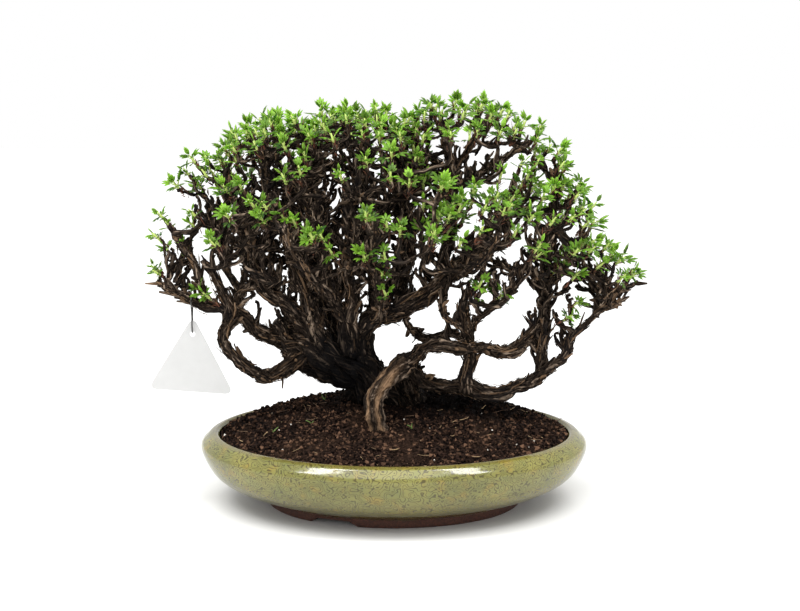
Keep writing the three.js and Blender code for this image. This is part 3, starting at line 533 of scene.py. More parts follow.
def soil_height(x, y):
    """Edge height, plus a mound, plus waves and three sizes of lumps that fade out at the edge.

    The mound is its rise times (1 - d to the power of its fullness), where d is the share of the way
    out, times (1 + lean times the share of the way back).
    """
    out = np.hypot(x / SOIL_EDGE, y / (SOIL_EDGE * OVAL))
    mound = (1 - out ** SOIL["fullness"]) * (1 + SOIL["lean"] * y / (SOIL_EDGE * OVAL))
    waves = np.sin(0.41 * x + 1.3 * np.sin(0.23 * y)) * np.cos(0.37 * y + np.sin(0.31 * x))
    inner = np.clip((1 - out) * 12, 0, 1)
    fine = 3.0 * lumps(x, y, 9, 1) + 2.6 * lumps(x, y, 4.2, 2) + 1.6 * lumps(x, y, 2.2, 3) - 3.9
    return SOIL["edge_height"] + SOIL["rise"] * np.maximum(0, mound) + inner * (0.8 * waves + fine)


def soil_part(sectors=260, rings=68):
    """A disc of rings at the soil's height, on a skirt that follows the pot's wall down to its floor."""
    share = np.linspace(0.012, 1, rings) ** 0.8
    top = np.stack([(SOIL_EDGE - 1) * share[::-1], 0 * share], axis=-1)
    grid = oval_surface(top, sectors)
    grid[..., 2] = soil_height(grid[..., 0], grid[..., 1])
    wall = oval_surface(np.array(SOIL_SKIRT[::-1], float), sectors)
    grid = np.concatenate([wall, grid])
    return grid.reshape(-1, 3), closed_grid(len(grid), sectors), {"tone": np.full(len(grid) * sectors, 0.2)}


soil = piece("soil_mound", soil_part(), SOIL_MATERIAL)
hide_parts("soil")

# %% Crumbs on the soil
soil_rng = np.random.default_rng(SEEDS["soil"])
OCTAHEDRON = np.array([
    (0, 1, 2), (1, 3, 2), (3, 4, 2), (4, 0, 2), (1, 0, 5), (3, 1, 5), (4, 3, 5), (0, 4, 5),
])


def soil_places(count, spread=0.985):
    """Places scattered evenly over the oval: the square root of a draw is the share of the way out."""
    out, angle = spread * np.sqrt(soil_rng.random(count)), 2 * np.pi * soil_rng.random(count)
    x, y = SOIL_EDGE * out * np.cos(angle), SOIL_EDGE * OVAL * out * np.sin(angle)
    return np.stack([x, y, soil_height(x, y)], axis=-1)


def grains(places, sizes, tones):
    """Eight-sided grains: the six ends of three crossed axes, each at its own distance, turned at random."""
    count = len(places)
    axes = np.linalg.qr(soil_rng.normal(size=(count, 3, 3)))[0]
    axes *= np.sign(np.linalg.det(axes))[:, None, None]
    lengths = sizes[:, None, None] * soil_rng.uniform(0.55, 1.25, (count, 6, 1))
    points = places[:, None] + np.concatenate([axes, -axes], axis=1) * lengths
    return points.reshape(-1, 3), [repeated(OCTAHEDRON, count, 6)], {"tone": np.repeat(tones, 6)}


CRUMBS = 11000
crumb_size = 0.6 + 1.9 * soil_rng.random(CRUMBS) ** 2.2
crumbs = grains(soil_places(CRUMBS), crumb_size, soil_rng.random(CRUMBS) ** 1.2)
crumbs = piece("soil_crumbs", crumbs, SOIL_MATERIAL, smooth=False)

# %% Perlite, straw and sprouts
def thin_fibre(name, dark, pale, streaked):
    """Straw or sprouts: each fibre has a tone between dark and pale, with streaks of a third colour."""
    made, tree, shader = new_material(name, Roughness=0.7)
    place = place_on(tree)
    tone = trait_of(tree, "tone")
    streak = noise(tree, place, 1.5, detail=2.0)
    colour = blended(tree, tone, dark, pale)
    colour = blended(tree, stretched(tree, streak, 0.4, 0.7, 0, 0.5), colour, streaked)
    tree.links.new(colour, shader.inputs["Base Color"])
    bumped(tree, shader, streak, 0.1)
    return made


def fibres(starts, directions, lengths, radii, bend, tones, rings=5):
    """Thin bent tubes: each runs along its direction and bends aside by the square of the way."""
    share = np.linspace(0, 1, rings)[None, :, None]
    aside = unit(np.cross(directions, soil_rng.normal(size=directions.shape)))[:, None]
    way = lengths[:, None, None] * share
    centres = starts[:, None] + way * directions[:, None] + bend[:, None, None] * way * share * aside
    tangents = unit(np.gradient(centres, axis=1))
    normals = unit(np.cross(tangents, (0.13, 0.21, 0.97)))
    taper = radii[:, None] * (1 - 0.6 * share[0, :, 0])
    points, faces = tubes(centres, taper, 4, normals, np.cross(tangents, normals))
    return points, faces, {"tone": np.repeat(tones, rings * 4)}


PERLITE = 30
white_perlite = mottled("white_perlite", 0.8, ("#b9b0a2", "#efebe2"), (0.4, 0.6), 0.3, Roughness=0.8)
perlite = grains(soil_places(PERLITE), soil_rng.uniform(0.7, 1.8, PERLITE), np.ones(PERLITE))
perlite = piece("perlite", perlite, white_perlite, smooth=False)

STRAWS = 170
straw_way = soil_rng.normal(size=(STRAWS, 3)) * (1, 1, 0.22)
straw = fibres(soil_places(STRAWS) + (0, 0, 0.4), unit(straw_way), soil_rng.uniform(3, 11, STRAWS),
               soil_rng.uniform(0.2, 0.5, STRAWS), soil_rng.uniform(0.0, 0.4, STRAWS),
               soil_rng.random(STRAWS) ** 2)
straw = piece("straw", straw, thin_fibre("dry_straw", "#4a3426", "#c2a57a", "#7d5d42"))

SPROUTS = 8
BLADES = 3 * SPROUTS
sprout_foot = np.repeat(soil_places(SPROUTS, 0.8), 3, axis=0)
sprout_way = unit(soil_rng.normal(size=(BLADES, 3)) * (0.6, 0.6, 0) + (0, 0, 1))
sprouts = fibres(sprout_foot, sprout_way, soil_rng.uniform(2.5, 6, BLADES),
                 soil_rng.uniform(0.3, 0.7, BLADES), soil_rng.uniform(0.2, 0.8, BLADES),
                 soil_rng.random(BLADES))
sprouts = piece("sprouts", sprouts, thin_fibre("green_sprouts", "#2f4a1a", "#8fa95c", "#55742c"))

# %% [markdown]
# ## Bark
#
# Old cinquefoil bark peels in long papery strips, grey-black outside and pinkish brown where it has come
# off. A pattern that follows a bent limb can't read the place in space. So each point carries a vector, its
# grain: two numbers for where it lies round the limb and a third, shortened one for how far along it lies.
# Noise that reads this vector is drawn out into fibres along the limb, whatever way the limb turns. Low
# between the roots and under the fork the bark is painted nearly black, as painted shade.

# %% Bark material
HOLLOW_PAINTED_SHADE = {"centre": (-18, 34, 96), "full": 38, "last": 78, "most": 0.85}
FORK_PAINTED_SHADE = {"centre": (-46, -6, 116), "full": 18, "last": 44, "most": 0.75}


def shredding_bark():
    """Black to grey fibres, pale plates where grain noise is high, worn wood and painted highlight by tone."""
    made, tree, shader = new_material("shredding_cinquefoil_bark", Roughness=0.88, Specular_IOR_Level=0.07)
    place = place_on(tree)
    grain = node(tree, "Attribute", {"attribute_name": "grain"}).outputs["Vector"]
    tone = trait_of(tree, "tone")
    fibre = noise(tree, grain, 0.9, detail=4.0, roughness=0.65)
    plate = noise(tree, grain, 3.2, detail=4.0, distortion=0.5, roughness=0.6)
    patch = noise(tree, place, 26, detail=2.0)
    colour = blended(tree, stretched(tree, fibre, 0.43, 0.66), "#020101", "#3a3028")
    colour = blended(tree, stretched(tree, plate, 0.52, 0.61, 0, 0.8), colour, "#6a5b4e")
    colour = blended(tree, stretched(tree, plate, 0.59, 0.68, 0, 0.75), colour, "#ab9682")
    colour = blended(tree, stretched(tree, patch, 0.56, 0.68, 0, 0.5), colour, "#19181a")
    # The worn colour is real wear on strips, stubs and flakes, and on the front root's bands also a painted
    # highlight.
    worn_and_highlight = blended(tree, stretched(tree, fibre, 0.35, 0.6), "#4b382c", "#a08163")
    colour = blended(tree, tone, colour, worn_and_highlight)
    # Painted shade: the hollow between the roots and the underside of the fork are darkened to near black.
    colour = blended(tree, near_to(tree, place, HOLLOW_PAINTED_SHADE), colour, "#050404")
    colour = blended(tree, near_to(tree, place, FORK_PAINTED_SHADE), colour, "#0b0b0d")
    tree.links.new(colour, shader.inputs["Base Color"])
    bumped(tree, shader, maths(tree, "MULTIPLY_ADD", fibre, 0.6, plate), 0.9)
    return made


BARK = shredding_bark()
print("made", BARK.name)

# %% [markdown]
# ## Limbs
#
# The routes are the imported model's own: points with a radius, each limb from its root to its tip. A smooth
# curve runs through them. The surface round it is a circle whose radius is worked over again and again:
# long flutes that wind round the limb, knots, ridges the width of a bark strip, plates with steep edges,
# and lumps.

# %% Routes of the limbs
LIMBS = {
    # Roots and trunk.
    "front_root": [
        (-12, -50, 46, 10.5), (-13, -48, 60, 10), (-15, -46, 73, 9.2), (-15, -45, 86, 8.5),
        (-14, -43, 99, 8), (-7, -36, 109, 8), (2, -26, 115, 8.5), (10, -16, 118, 8),
    ],
    "trunk": [
        (8, 18, 42, 18), (6, 16, 60, 19), (2, 14, 75, 18.5), (-8, 12, 90, 18), (-22, 8, 103, 17.5),
        (-38, 4, 115, 17), (-56, 2, 125, 16), (-74, 2, 134, 13.5), (-87, 2, 143, 10), (-97, 0, 152, 6.5),
    ],
    "rear_root": [(22, 26, 50, 9), (20, 20, 70, 9.5), (14, 10, 88, 9), (8, -2, 104, 9), (8, -12, 116, 8.5)],
    "left_root": [(-46, 30, 52, 6), (-38, 26, 74, 8), (-26, 18, 92, 9), (-16, 10, 100, 9)],
    # Low limb to the right, with its rising end.
    "low_right": [
        (7, -10, 114, 8.5), (16, -10, 109, 7.5), (26, -10, 103, 6.8), (40, -12, 100, 6.6),
        (56, -14, 98, 6.6), (72, -16, 96, 6.6), (89, -18, 96, 6), (100, -18, 99, 5.6),
        (110, -18, 104, 5.2), (121, -18, 112, 4.8), (131, -18, 119, 4.4), (139, -18, 125, 4),
        (142, -18, 137, 3.4), (143, -18, 145, 2.6),
    ],
    "low_right_out": [
        (142, -18, 138, 3.2), (149, -18, 147, 3), (158, -16, 154, 2.8), (169, -14, 163, 2.6),
        (179, -12, 168, 2.2), (190, -10, 173, 1.5),
    ],
    "low_right_up": [(168, -14, 163, 2.4), (172, -12, 176, 2.2), (176, -10, 190, 1.7)],
    "low_right_tip": [(174, -13, 167, 2.2), (182, -6, 177, 2), (193, -2, 181, 1.8), (200, 0, 185, 1.5)],
    "low_right_rise": [
        (118, -18, 109, 4.4), (121, -14, 125, 4), (122, -10, 138, 3.6), (125, -6, 150, 3.6),
        (126, -4, 162, 3.4),
    ],
    # Upper arch to the right and the tower that stands on it.
    "arch_right": [
        (7, -16, 116, 8), (16, -18, 125, 6.5), (25, -22, 134, 5.5), (40, -26, 136, 5), (57, -28, 135, 5),
        (74, -27, 134, 5), (89, -22, 130, 5), (101, -14, 132, 5), (112, -8, 141, 5), (120, -2, 152, 5),
        (125, 0, 165, 4.6),
    ],
    "right_tower": [
        (125, 0, 163, 4.8), (123, 3, 180, 4.2), (126, 6, 196, 4), (127, 8, 212, 3.6),
        (130, 10, 228, 3.2), (131, 10, 244, 2.8), (132, 8, 259, 2.4), (131, 6, 274, 1.9),
    ],
    # Post between the two right limbs, with its forks.
    "post": [
        (59, -14, 97, 6.6), (59, -17, 113, 5.4), (62, -20, 128, 4.8), (61, -24, 141, 4.6),
        (57, -26, 153, 4.3), (55, -26, 167, 3.8), (58, -28, 178, 2.8),
    ],
    "post_right": [
        (61, -24, 142, 3.6), (65, -30, 157, 3), (75, -34, 166, 2.8), (88, -36, 174, 2.6),
        (96, -34, 185, 2.3), (103, -30, 194, 1.8),
    ],
    "post_left": [
        (56, -27, 151, 3), (49, -31, 156, 2.5), (40, -34, 163, 2.2), (38, -34, 173, 2),
        (42, -34, 186, 1.5),
    ],
    "hook": [
        (9, -12, 165, 3.4), (10, -2, 151, 3), (15, 2, 143, 3), (23, 2, 139, 2.9), (35, -2, 139, 2.9),
        (46, -10, 143, 2.9), (59, -22, 142, 2.9),
    ],
    # Risers in the middle.
    "middle_riser": [
        (-34, -4, 128, 9), (-40, -16, 156, 6), (-48, -24, 175, 5), (-54, -30, 198, 4.4),
        (-59, -34, 216, 3.8), (-65, -34, 236, 3.2), (-70, -28, 255, 2.7), (-75, -20, 277, 2),
    ],
    "right_riser": [
        (-21, -2, 118, 10), (-26, -4, 142, 8.4), (-15, -8, 156, 7.6), (1, -12, 162, 7),
        (17, -16, 171, 6.2), (33, -18, 182, 5.6), (47, -16, 195, 5), (60, -12, 206, 4.4),
        (75, -8, 212, 3.8), (89, -6, 217, 3.2), (103, -4, 223, 2.4),
    ],
    "upper_right": [
        (33, -14, 180, 5), (41, 10, 199, 4.6), (46, 18, 221, 4.5), (48, 22, 245, 4.3), (46, 24, 267, 4),
        (45, 22, 284, 3.3), (41, 18, 299, 2.8), (38, 14, 316, 2.1),
    ],
    "upper_right_mid": [
        (46, 24, 266, 3.4), (53, 20, 281, 3), (62, 14, 292, 2.8), (68, 10, 304, 2.4), (73, 6, 315, 1.8),
    ],
    "upper_right_out": [
        (48, 24, 256, 3.4), (66, 24, 268, 3), (78, 20, 277, 2.8), (90, 14, 283, 2.4), (101, 8, 293, 2),
        (110, 4, 300, 1.6),
    ],
    "upper_right_in": [
        (46, 24, 272, 3), (35, 16, 282, 2.6), (25, 10, 290, 2.2), (16, 6, 300, 1.9), (10, 4, 312, 1.6),
    ],
    "shoulder_riser": [
        (-58, -4, 132, 8), (-66, -12, 158, 6.4), (-74, -20, 184, 5.2), (-84, -26, 212, 4),
        (-92, -30, 240, 2.9), (-96, -32, 262, 2),
    ],
    "middle_web": [
        (-30, -4, 126, 8), (-36, -14, 150, 6.4), (-34, -22, 176, 5.2), (-38, -28, 204, 4.2),
        (-34, -34, 232, 3.2), (-38, -40, 262, 2),
    ],
    "inner_riser": [
        (-15, -8, 154, 6.4), (-14, 0, 176, 5.2), (-20, 6, 200, 4.6), (-24, 8, 226, 3.8),
        (-22, 6, 254, 3), (-26, 2, 284, 2),
    ],
    "inner_right_riser": [
        (1, -12, 160, 6), (8, 4, 182, 4.8), (12, 14, 206, 4), (8, 18, 232, 3.4), (4, 16, 260, 2.8),
        (2, 10, 292, 1.9),
    ],
    # The left side: shoulder, hanging loop, long low branch and their forks.
    "left_shoulder": [
        (-59, -2, 132, 9), (-72, -10, 153, 7), (-85, -14, 164, 6.2), (-97, -18, 175, 5.6),
        (-109, -20, 189, 4.8), (-114, -20, 204, 4.2), (-115, -18, 222, 3.6), (-118, -14, 239, 3.1),
        (-127, -10, 253, 2.6), (-134, -8, 269, 1.9),
    ],
    "left_crown": [
        (-114, -20, 203, 4), (-104, -14, 222, 3.4), (-100, -6, 244, 3), (-104, 2, 268, 2.5),
        (-102, 6, 294, 1.9),
    ],
    "left_loop": [
        (-66, 0, 127, 9), (-77, -6, 122, 6.6), (-88, -12, 116, 5.6), (-101, -16, 107, 5.4),
        (-113, -18, 112, 5.4), (-125, -20, 122, 5.2), (-137, -22, 134, 4.8), (-139, -22, 145, 4.6),
        (-134, -22, 157, 4.7), (-134, -22, 168, 4.4), (-139, -22, 181, 3.8), (-146, -22, 195, 3),
        (-154, -20, 206, 2.2),
    ],
    "left_long": [
        (-134, -22, 166, 4.4), (-152, -24, 169, 4), (-161, -26, 172, 3.6), (-172, -26, 178, 3.3),
        (-182, -26, 183, 2.8), (-191, -26, 190, 1.8),
    ],
    "left_link": [
        (-81, 4, 134, 8.5), (-96, 0, 136, 6.4), (-107, -5, 142, 5.8), (-116, -10, 149, 5.2),
        (-124, -16, 160, 4.6), (-133, -21, 167, 4.2),
    ],
    "left_arch": [
        (-127, -18, 163, 3.6), (-127, -15, 174, 3.2), (-122, -14, 181, 3.1), (-115, -16, 184, 3.2),
        (-107, -19, 186, 3.2),
    ],
    "left_arch_up": [
        (-124, -14, 179, 3), (-132, -12, 189, 2.7), (-138, -10, 201, 2.5), (-142, -8, 215, 2.3),
        (-147, -6, 228, 2.1), (-153, -4, 240, 1.7),
    ],
    "left_up": [
        (-150, -24, 169, 3.4), (-156, -24, 187, 3), (-161, -24, 203, 2.7), (-168, -24, 214, 2.4),
        (-174, -22, 225, 2.1), (-181, -20, 234, 1.7),
    ],
    # Limbs behind.
    "back_left": [
        (-38, 4, 117, 8), (-44, 24, 134, 7), (-58, 44, 158, 5.6), (-74, 62, 186, 4.6),
        (-86, 78, 216, 3.8), (-92, 90, 246, 3), (-88, 92, 260, 2.2),
    ],
    "back_middle": [
        (-26, -2, 138, 7.5), (-18, 16, 150, 6.6), (-6, 36, 166, 5.8), (4, 54, 190, 4.8),
        (10, 70, 220, 4), (8, 84, 252, 3.2), (12, 88, 266, 2.3),
    ],
    "back_right": [
        (17, -14, 170, 5.6), (30, 8, 176, 5.2), (44, 32, 184, 4.6), (62, 54, 198, 4), (82, 72, 218, 3.4),
        (98, 84, 244, 2.8), (104, 84, 258, 2.1),
    ],
    "back_far_left": [
        (-97, -16, 175, 5), (-104, 4, 184, 4.6), (-116, 28, 194, 4), (-132, 48, 206, 3.4),
        (-146, 62, 224, 2.8), (-150, 70, 246, 1.9),
    ],
    "back_low_right": [
        (123, 2, 176, 4), (130, 22, 180, 3.8), (140, 42, 186, 3.3), (152, 58, 198, 2.7),
        (160, 68, 214, 1.8),
    ],
    # Limbs in front.
    "front_left": [
        (-48, -24, 173, 4.8), (-56, -44, 186, 4), (-66, -62, 202, 3.4), (-78, -78, 222, 2.8),
        (-84, -88, 244, 1.9),
    ],
    "front_middle": [
        (-15, -8, 156, 6.4), (-12, -30, 166, 5), (-10, -52, 182, 4.2), (-14, -72, 202, 3.4),
        (-16, -90, 226, 2.6), (-14, -100, 248, 1.8),
    ],
    "front_right": [
        (47, -16, 193, 5), (52, -36, 198, 4.2), (60, -56, 206, 3.5), (72, -72, 218, 2.8),
        (82, -84, 236, 1.9),
    ],
}

# %% Limb surfaces
GRAIN_STRETCH = 0.14
RING_STEP = 2.5
RIDGE_WIDTH = 4


def plates(angle, along, phase):
    """Plates with steep edges: products of slanting sine waves, pressed flat by the hyperbolic tangent."""
    slant = np.sin(2 * angle + 0.24 * along + phase) * np.sin(-3 * angle + 0.41 * along + 2.3 * phase)
    small = np.sin(7 * angle - 0.62 * along + 4.1 * phase) * np.sin(5 * angle + 0.93 * along + 1.7 * phase)
    return np.tanh(4 * slant) + 0.6 * np.tanh(4 * small)


def limb_surface(route, phase):
    """Rings of a limb: centres, frames, and the radius for each ring and side.

    The centre line wanders by an eighth of the radius. The radius is nine tenths of the route's, times
    flutes that wind with the way along, times knots that swell and shrink it, plus ridges about four
    millimetres apart that are narrow valleys between broad backs, plus plates, plus lumps. The lumps are
    read at (r cos a, along + r sin a), where r is 1.6 radii, and so meet themselves after a full turn.
    """
    route = np.array(route, float)
    length = np.linalg.norm(np.diff(route[:, :3], axis=0), axis=1).sum()
    rings = int(length / RING_STEP) + 4
    places = np.linspace(0, 1, rings)
    along = places * length
    radius = np.interp(places * (len(route) - 1), np.arange(len(route)), route[:, 3])
    centres = smooth_path(route[:, :3], places)[None]
    tangents, normals, binormals = path_frames(centres)
    wander = (0.12 * radius + 0.25) * np.clip(np.minimum(along, length - along) / 12, 0, 1)
    wave = [wander * np.sin(along / turn + phase * scale) for turn, scale in ((7.5, 1), (6.1, 1.7))]
    centres = centres + wave[0][None, :, None] * normals + wave[1][None, :, None] * binormals
    sides = int(np.clip(4.7 * radius.max(), 10, 76))
    angle = round_angles(sides)[None]
    along, radius = along[:, None], radius[:, None]
    flutes = 1 + 0.09 * np.sin(2 * angle + 0.05 * along + phase)
    flutes = flutes + 0.07 * np.cos(3 * angle - 0.034 * along + 2 * phase)
    ridges = max(2, round(np.pi * radius.max() / RIDGE_WIDTH))
    ridge = np.abs(np.sin(ridges * angle + 0.05 * along + 1.3 * np.sin(along / 9 + phase)))
    relief = np.minimum(1, radius / 7) * (1.1 * np.sqrt(ridge) - 0.8 + 0.55 * plates(angle, along, phase))
    spread = 1.6 * radius
    across, down = spread * np.cos(angle), along + spread * np.sin(angle) + 60 * phase
    rough = lumps(across, down, 3.1, 11) + 0.7 * lumps(across, down, 6.5, 12) - 0.85
    knots = 1 + 0.13 * np.sin(along / 3.9 + phase) * np.sin(along / 8.3 + 3 * phase)
    knots = knots + 0.7 * (lumps(0.5 * across, down, 9, 13) - 0.45)
    surface = 0.9 * radius * flutes * knots + relief + 2.5 * np.minimum(1, radius / 5) * rough
    return {"centres": centres[0], "tangents": tangents[0], "normals": normals[0], "binormals": binormals[0],
            "radii": surface, "along": along[:, 0], "sides": sides}


def grain_of(radii, along, angle, offset):
    """Where a point lies on the wood: radius times cosine and sine of its angle, and a shortened way."""
    run = np.broadcast_to(GRAIN_STRETCH * along, radii.shape)
    grain = np.stack([radii * np.cos(angle), radii * np.sin(angle), run], axis=-1)
    return (grain.reshape(-1, 3) + offset) * MM


def limb_part(limb, offset, tone=0.0):
    """A limb as a part, with its grain and its tone."""
    keys = ("centres", "radii", "normals", "binormals")
    centres, radii, normals, binormals = (limb[key][None] for key in keys)
    points, faces = tubes(centres, radii, limb["sides"], normals, binormals)
    grain = grain_of(limb["radii"], limb["along"][:, None], round_angles(limb["sides"])[None], offset)
    return points, faces, {"grain": grain, "tone": np.broadcast_to(tone, len(points))}


def worn_and_highlight_bands(limb):
    """Two pale bands on the front root: bark worn off, and also a painted highlight on its lit faces.

    Each is a bell of the angle away from the front. Both fade out towards the soil and towards the fork.
    """
    angle = round_angles(limb["sides"])[None, :, None]
    around = outward(angle, limb["normals"][:, None], limb["binormals"][:, None])
    azimuth = np.arctan2(around[..., 0], -around[..., 1])
    bells = [np.exp(-(((azimuth - middle) / 0.3) ** 2)) for middle in (-0.9, 0.45)]
    height = limb["centres"][:, None, 2]
    fade = np.clip((height - 60) / 10, 0.2, 1) * np.clip((118 - height) / 8, 0, 1)
    return (np.maximum(*bells) * fade).ravel()


# A swelling of the trunk's base towards the left, which only this lesson makes.
BURLS = {
    "trunk_burl": [
        (-22, 8, 104, 15), (-44, 8, 110, 14), (-64, 6, 115, 11), (-82, 4, 121, 7.5), (-92, 2, 128, 5),
    ],
}
limbs, limb_parts = {}, []
for i, (name, route) in enumerate((LIMBS | BURLS).items()):
    limbs[name] = limb_surface(route, 1.7 * i + 0.4)
    tone = worn_and_highlight_bands(limbs[name]) if name == "front_root" else 0.0
    limb_parts.append(limb_part(limbs[name], (37.0 * i, 11.0 * i, 5.0 * i), tone))
wood = piece("limbs", joined(limb_parts), BARK)
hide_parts("wood")

# %% [markdown]
# ## Twigs
#
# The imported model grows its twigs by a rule, and the same rule is repeated here, so the first shoots stand
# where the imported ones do. A tip looks for the nearest place on a limb, counting places above it as further
# away, and a twig runs from there to the tip, sagging a little and ending the way its shoot points. The
# nearest tips go first, so that far ones can start from them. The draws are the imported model's own too.

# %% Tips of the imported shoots
TIPS = [
    # Along the top.
    (-116, -10, 303), (-100, 20, 311), (-78, -28, 316), (-58, 10, 319), (-37, -38, 317), (-14, 15, 320),
    (30, 0, 325), (54, 35, 319), (76, -15, 317), (97, 22, 306), (113, -8, 298), (125, 18, 289),
    # Down the left side.
    (-145, -5, 272), (-159, 10, 256), (-158, -32, 243), (-180, -15, 230), (-184, 5, 208),
    (-188, -25, 194), (-140, -58, 222), (-128, -60, 244), (-122, -42, 284),
    # Down the right side.
    (137, 5, 274), (148, 12, 252), (159, -8, 230), (155, -38, 214), (174, 8, 200), (192, -5, 187),
    (138, -50, 241), (138, -28, 158),
    # The face of the crown.
    (-72, -68, 280), (-21, -104, 250), (-6, -98, 218), (30, -100, 236), (36, -84, 270),
    (84, -80, 250), (66, -64, 190), (-98, -74, 254), (-2, -60, 292), (-62, -88, 232),
    # The back of the crown.
    (-92, 100, 280), (-38, 92, 292), (18, 104, 284), (64, 84, 292), (108, 92, 268), (142, 66, 234),
    (-142, 68, 246),
    # Between those.
    (16, 38, 308), (-64, 46, 304), (80, 56, 306), (44, -46, 304), (23, -40, 250), (93, -20, 252),
    (-120, 48, 284),
]
BARE_TIPS = [
    (-70, 24, 220), (-68, 50, 268), (-4, -36, 230), (50, -34, 246), (-29, 54, 236), (-116, 32, 240),
    (-35, 44, 200), (104, -20, 248), (-34, -46, 256), (24, -56, 214), (-66, 20, 256), (-102, -54, 200),
    (30, -10, 238), (0, -22, 266), (11, 48, 262), (58, -20, 280), (100, 18, 248), (-36, -56, 222),
    (62, 46, 284), (-145, 38, 254), (-84, 30, 284), (-10, 20, 288), (-25, 54, 296), (86, -40, 288),
    (-10, -62, 190), (104, 40, 232), (-60, -10, 284), (-150, -6, 222),
]

# %% Growing twigs
HEART = np.array([0, 0, 170.0])
NODE_SPACING = 4
BARE_TIP = 7
TWIG = {"tip_radius": 1.15, "least": 15, "kink": 0.09, "sag": 0.08, "step": 19}
RISE = 0.75
WANDER = 0.5
# Habits: the thickness, the share that points as the shoot does, how much roots straight below count.
PACKED_HABIT = (1.0, 0.3, 0.0)
LEAFY_HABIT = (1.1, 0.18, 0.6)
BARE_HABIT = (1.1, 0.18, 0.8)
# A limb that starts with a radius over the first number has its packed rings the second number apart.
LIMB_STEPS = ((12, 20), (7.8, 22), (4.9, 25), (3, 24), (0, 24))
FACTOR, ADDEND, WRAP = 1664525, 1013904223, 2**32


def seeded_draws(seed):
    """Numbers from 0 to 1, the same on every run: the state times a factor, plus an addend, wrapped."""
    state = seed
    while True:
        state = (state * FACTOR + ADDEND) % WRAP
        yield state / WRAP


def skeleton(route, step):
    """Places along a packed limb, from ring to ring, as x, y, z, radius and whether a twig may root there."""
    route = np.array(route, float)
    length = np.linalg.norm(np.diff(route[:, :3], axis=0), axis=1).sum()
    count = max(1, int(length / step + 0.5))
    places = np.arange(count + 1) / count
    radii = np.interp(places * (len(route) - 1), np.arange(len(route)), route[:, 3])
    rings = np.column_stack([smooth_path(route[:, :3], places), radii])
    rows = []
    for here, there in zip(rings[:-1], rings[1:]):
        pieces = int(np.ceil(np.linalg.norm((there - here)[:3]) / NODE_SPACING))
        rows.append(here + (there - here) * np.arange(pieces)[:, None] / pieces)
    nodes = np.vstack(rows)
    bears = np.linalg.norm(nodes[:, :3] - rings[-1, :3], axis=1) > BARE_TIP
    return np.vstack([np.column_stack([nodes, bears]), [*rings[-1], 0]])


def shoot_direction(tip, draws):
    """Out of the heart of the crown, and up, a little at random."""
    out = unit(tip - HEART) + (0, 0, RISE)
    out[0] += WANDER * (next(draws) - 0.5)
    out[1] += WANDER * (next(draws) - 0.5)
    return unit(out)


def grow_twig(tip, nodes, draws, habit):
    """The route of a twig to this tip, as points with a radius, and the way in which its shoot points.

    The root is the place with the least reach: its distance, plus 1.5 times its height over a level 6 mm
    under the tip, plus the upright habit times its distance seen from above. The bend lies half way. Two
    draws kink it, and it sags by a share of the span.
    """
    thickness, turned, upright = habit
    direction = shoot_direction(tip, draws)
    distance = np.linalg.norm(nodes[:, :3] - tip, axis=1)
    reach = distance + 1.5 * np.maximum(0, nodes[:, 2] - tip[2] + 6)
    reach = reach + upright * np.linalg.norm(nodes[:, :2] - tip[:2], axis=1)
    able = (nodes[:, 4] > 0) & (distance >= TWIG["least"])
    root = nodes[np.argmin(np.where(able, reach, np.inf))]
    span = np.linalg.norm(root[:3] - tip)
    neck = tip - turned * span * direction
    radius = min(0.85 * root[3], (TWIG["tip_radius"] + 0.35 + 0.016 * span) * thickness)
    bend = (root[:3] + neck) / 2
    bend[0] += TWIG["kink"] * span * 2 * (next(draws) - 0.5)
    bend[1] += TWIG["kink"] * span * 2 * (next(draws) - 0.5)
    bend[2] -= TWIG["sag"] * span
    radii = [radius, (radius + TWIG["tip_radius"]) / 2, TWIG["tip_radius"] + 0.1, TWIG["tip_radius"]]
    return np.column_stack([np.vstack([root[:3], bend, neck, tip]), radii]), direction


def grow_twigs(tips, nodes, draws, habit=PACKED_HABIT):
    """Twigs to all the tips, nearest first: their routes, directions, and the skeleton with them on it."""
    tips = np.array(tips, float)
    near = np.linalg.norm(tips[:, None] - nodes[None, :, :3], axis=2).min(axis=1)
    routes, directions = [], []
    for tip in tips[np.argsort(near, kind="stable")]:
        route, direction = grow_twig(tip, nodes, draws, habit)
        nodes = np.vstack([nodes, skeleton(route, TWIG["step"])])
        routes.append(route)
        directions.append(direction)
    return np.array(routes), np.array(directions), nodes


draws = seeded_draws(SEEDS["packed"])
limb_steps = [next(step for over, step in LIMB_STEPS if route[0][3] > over) for route in LIMBS.values()]
nodes = np.vstack([skeleton(route, step) for route, step in zip(LIMBS.values(), limb_steps)])
routes, directions, nodes = grow_twigs(TIPS, nodes, draws)
packed_bare, _, nodes = grow_twigs(BARE_TIPS, nodes, draws)
print(len(routes) + len(packed_bare), "packed twigs; the skeleton has", len(nodes), "places")

# %% [markdown]
# ## The rest of the crown
#
# The solids hold about one shoot in six. The others fill the same crown: it is described by a few
# overlapping ellipsoids, the pads that a grower prunes, and new tips are scattered on their outer skin. A
# tip is kept only if it has room. On top and at the right the shoots stand close, and on the face they are
# sparse, which lets the dark twigs show through. Leafless twigs fill the thickets inside.

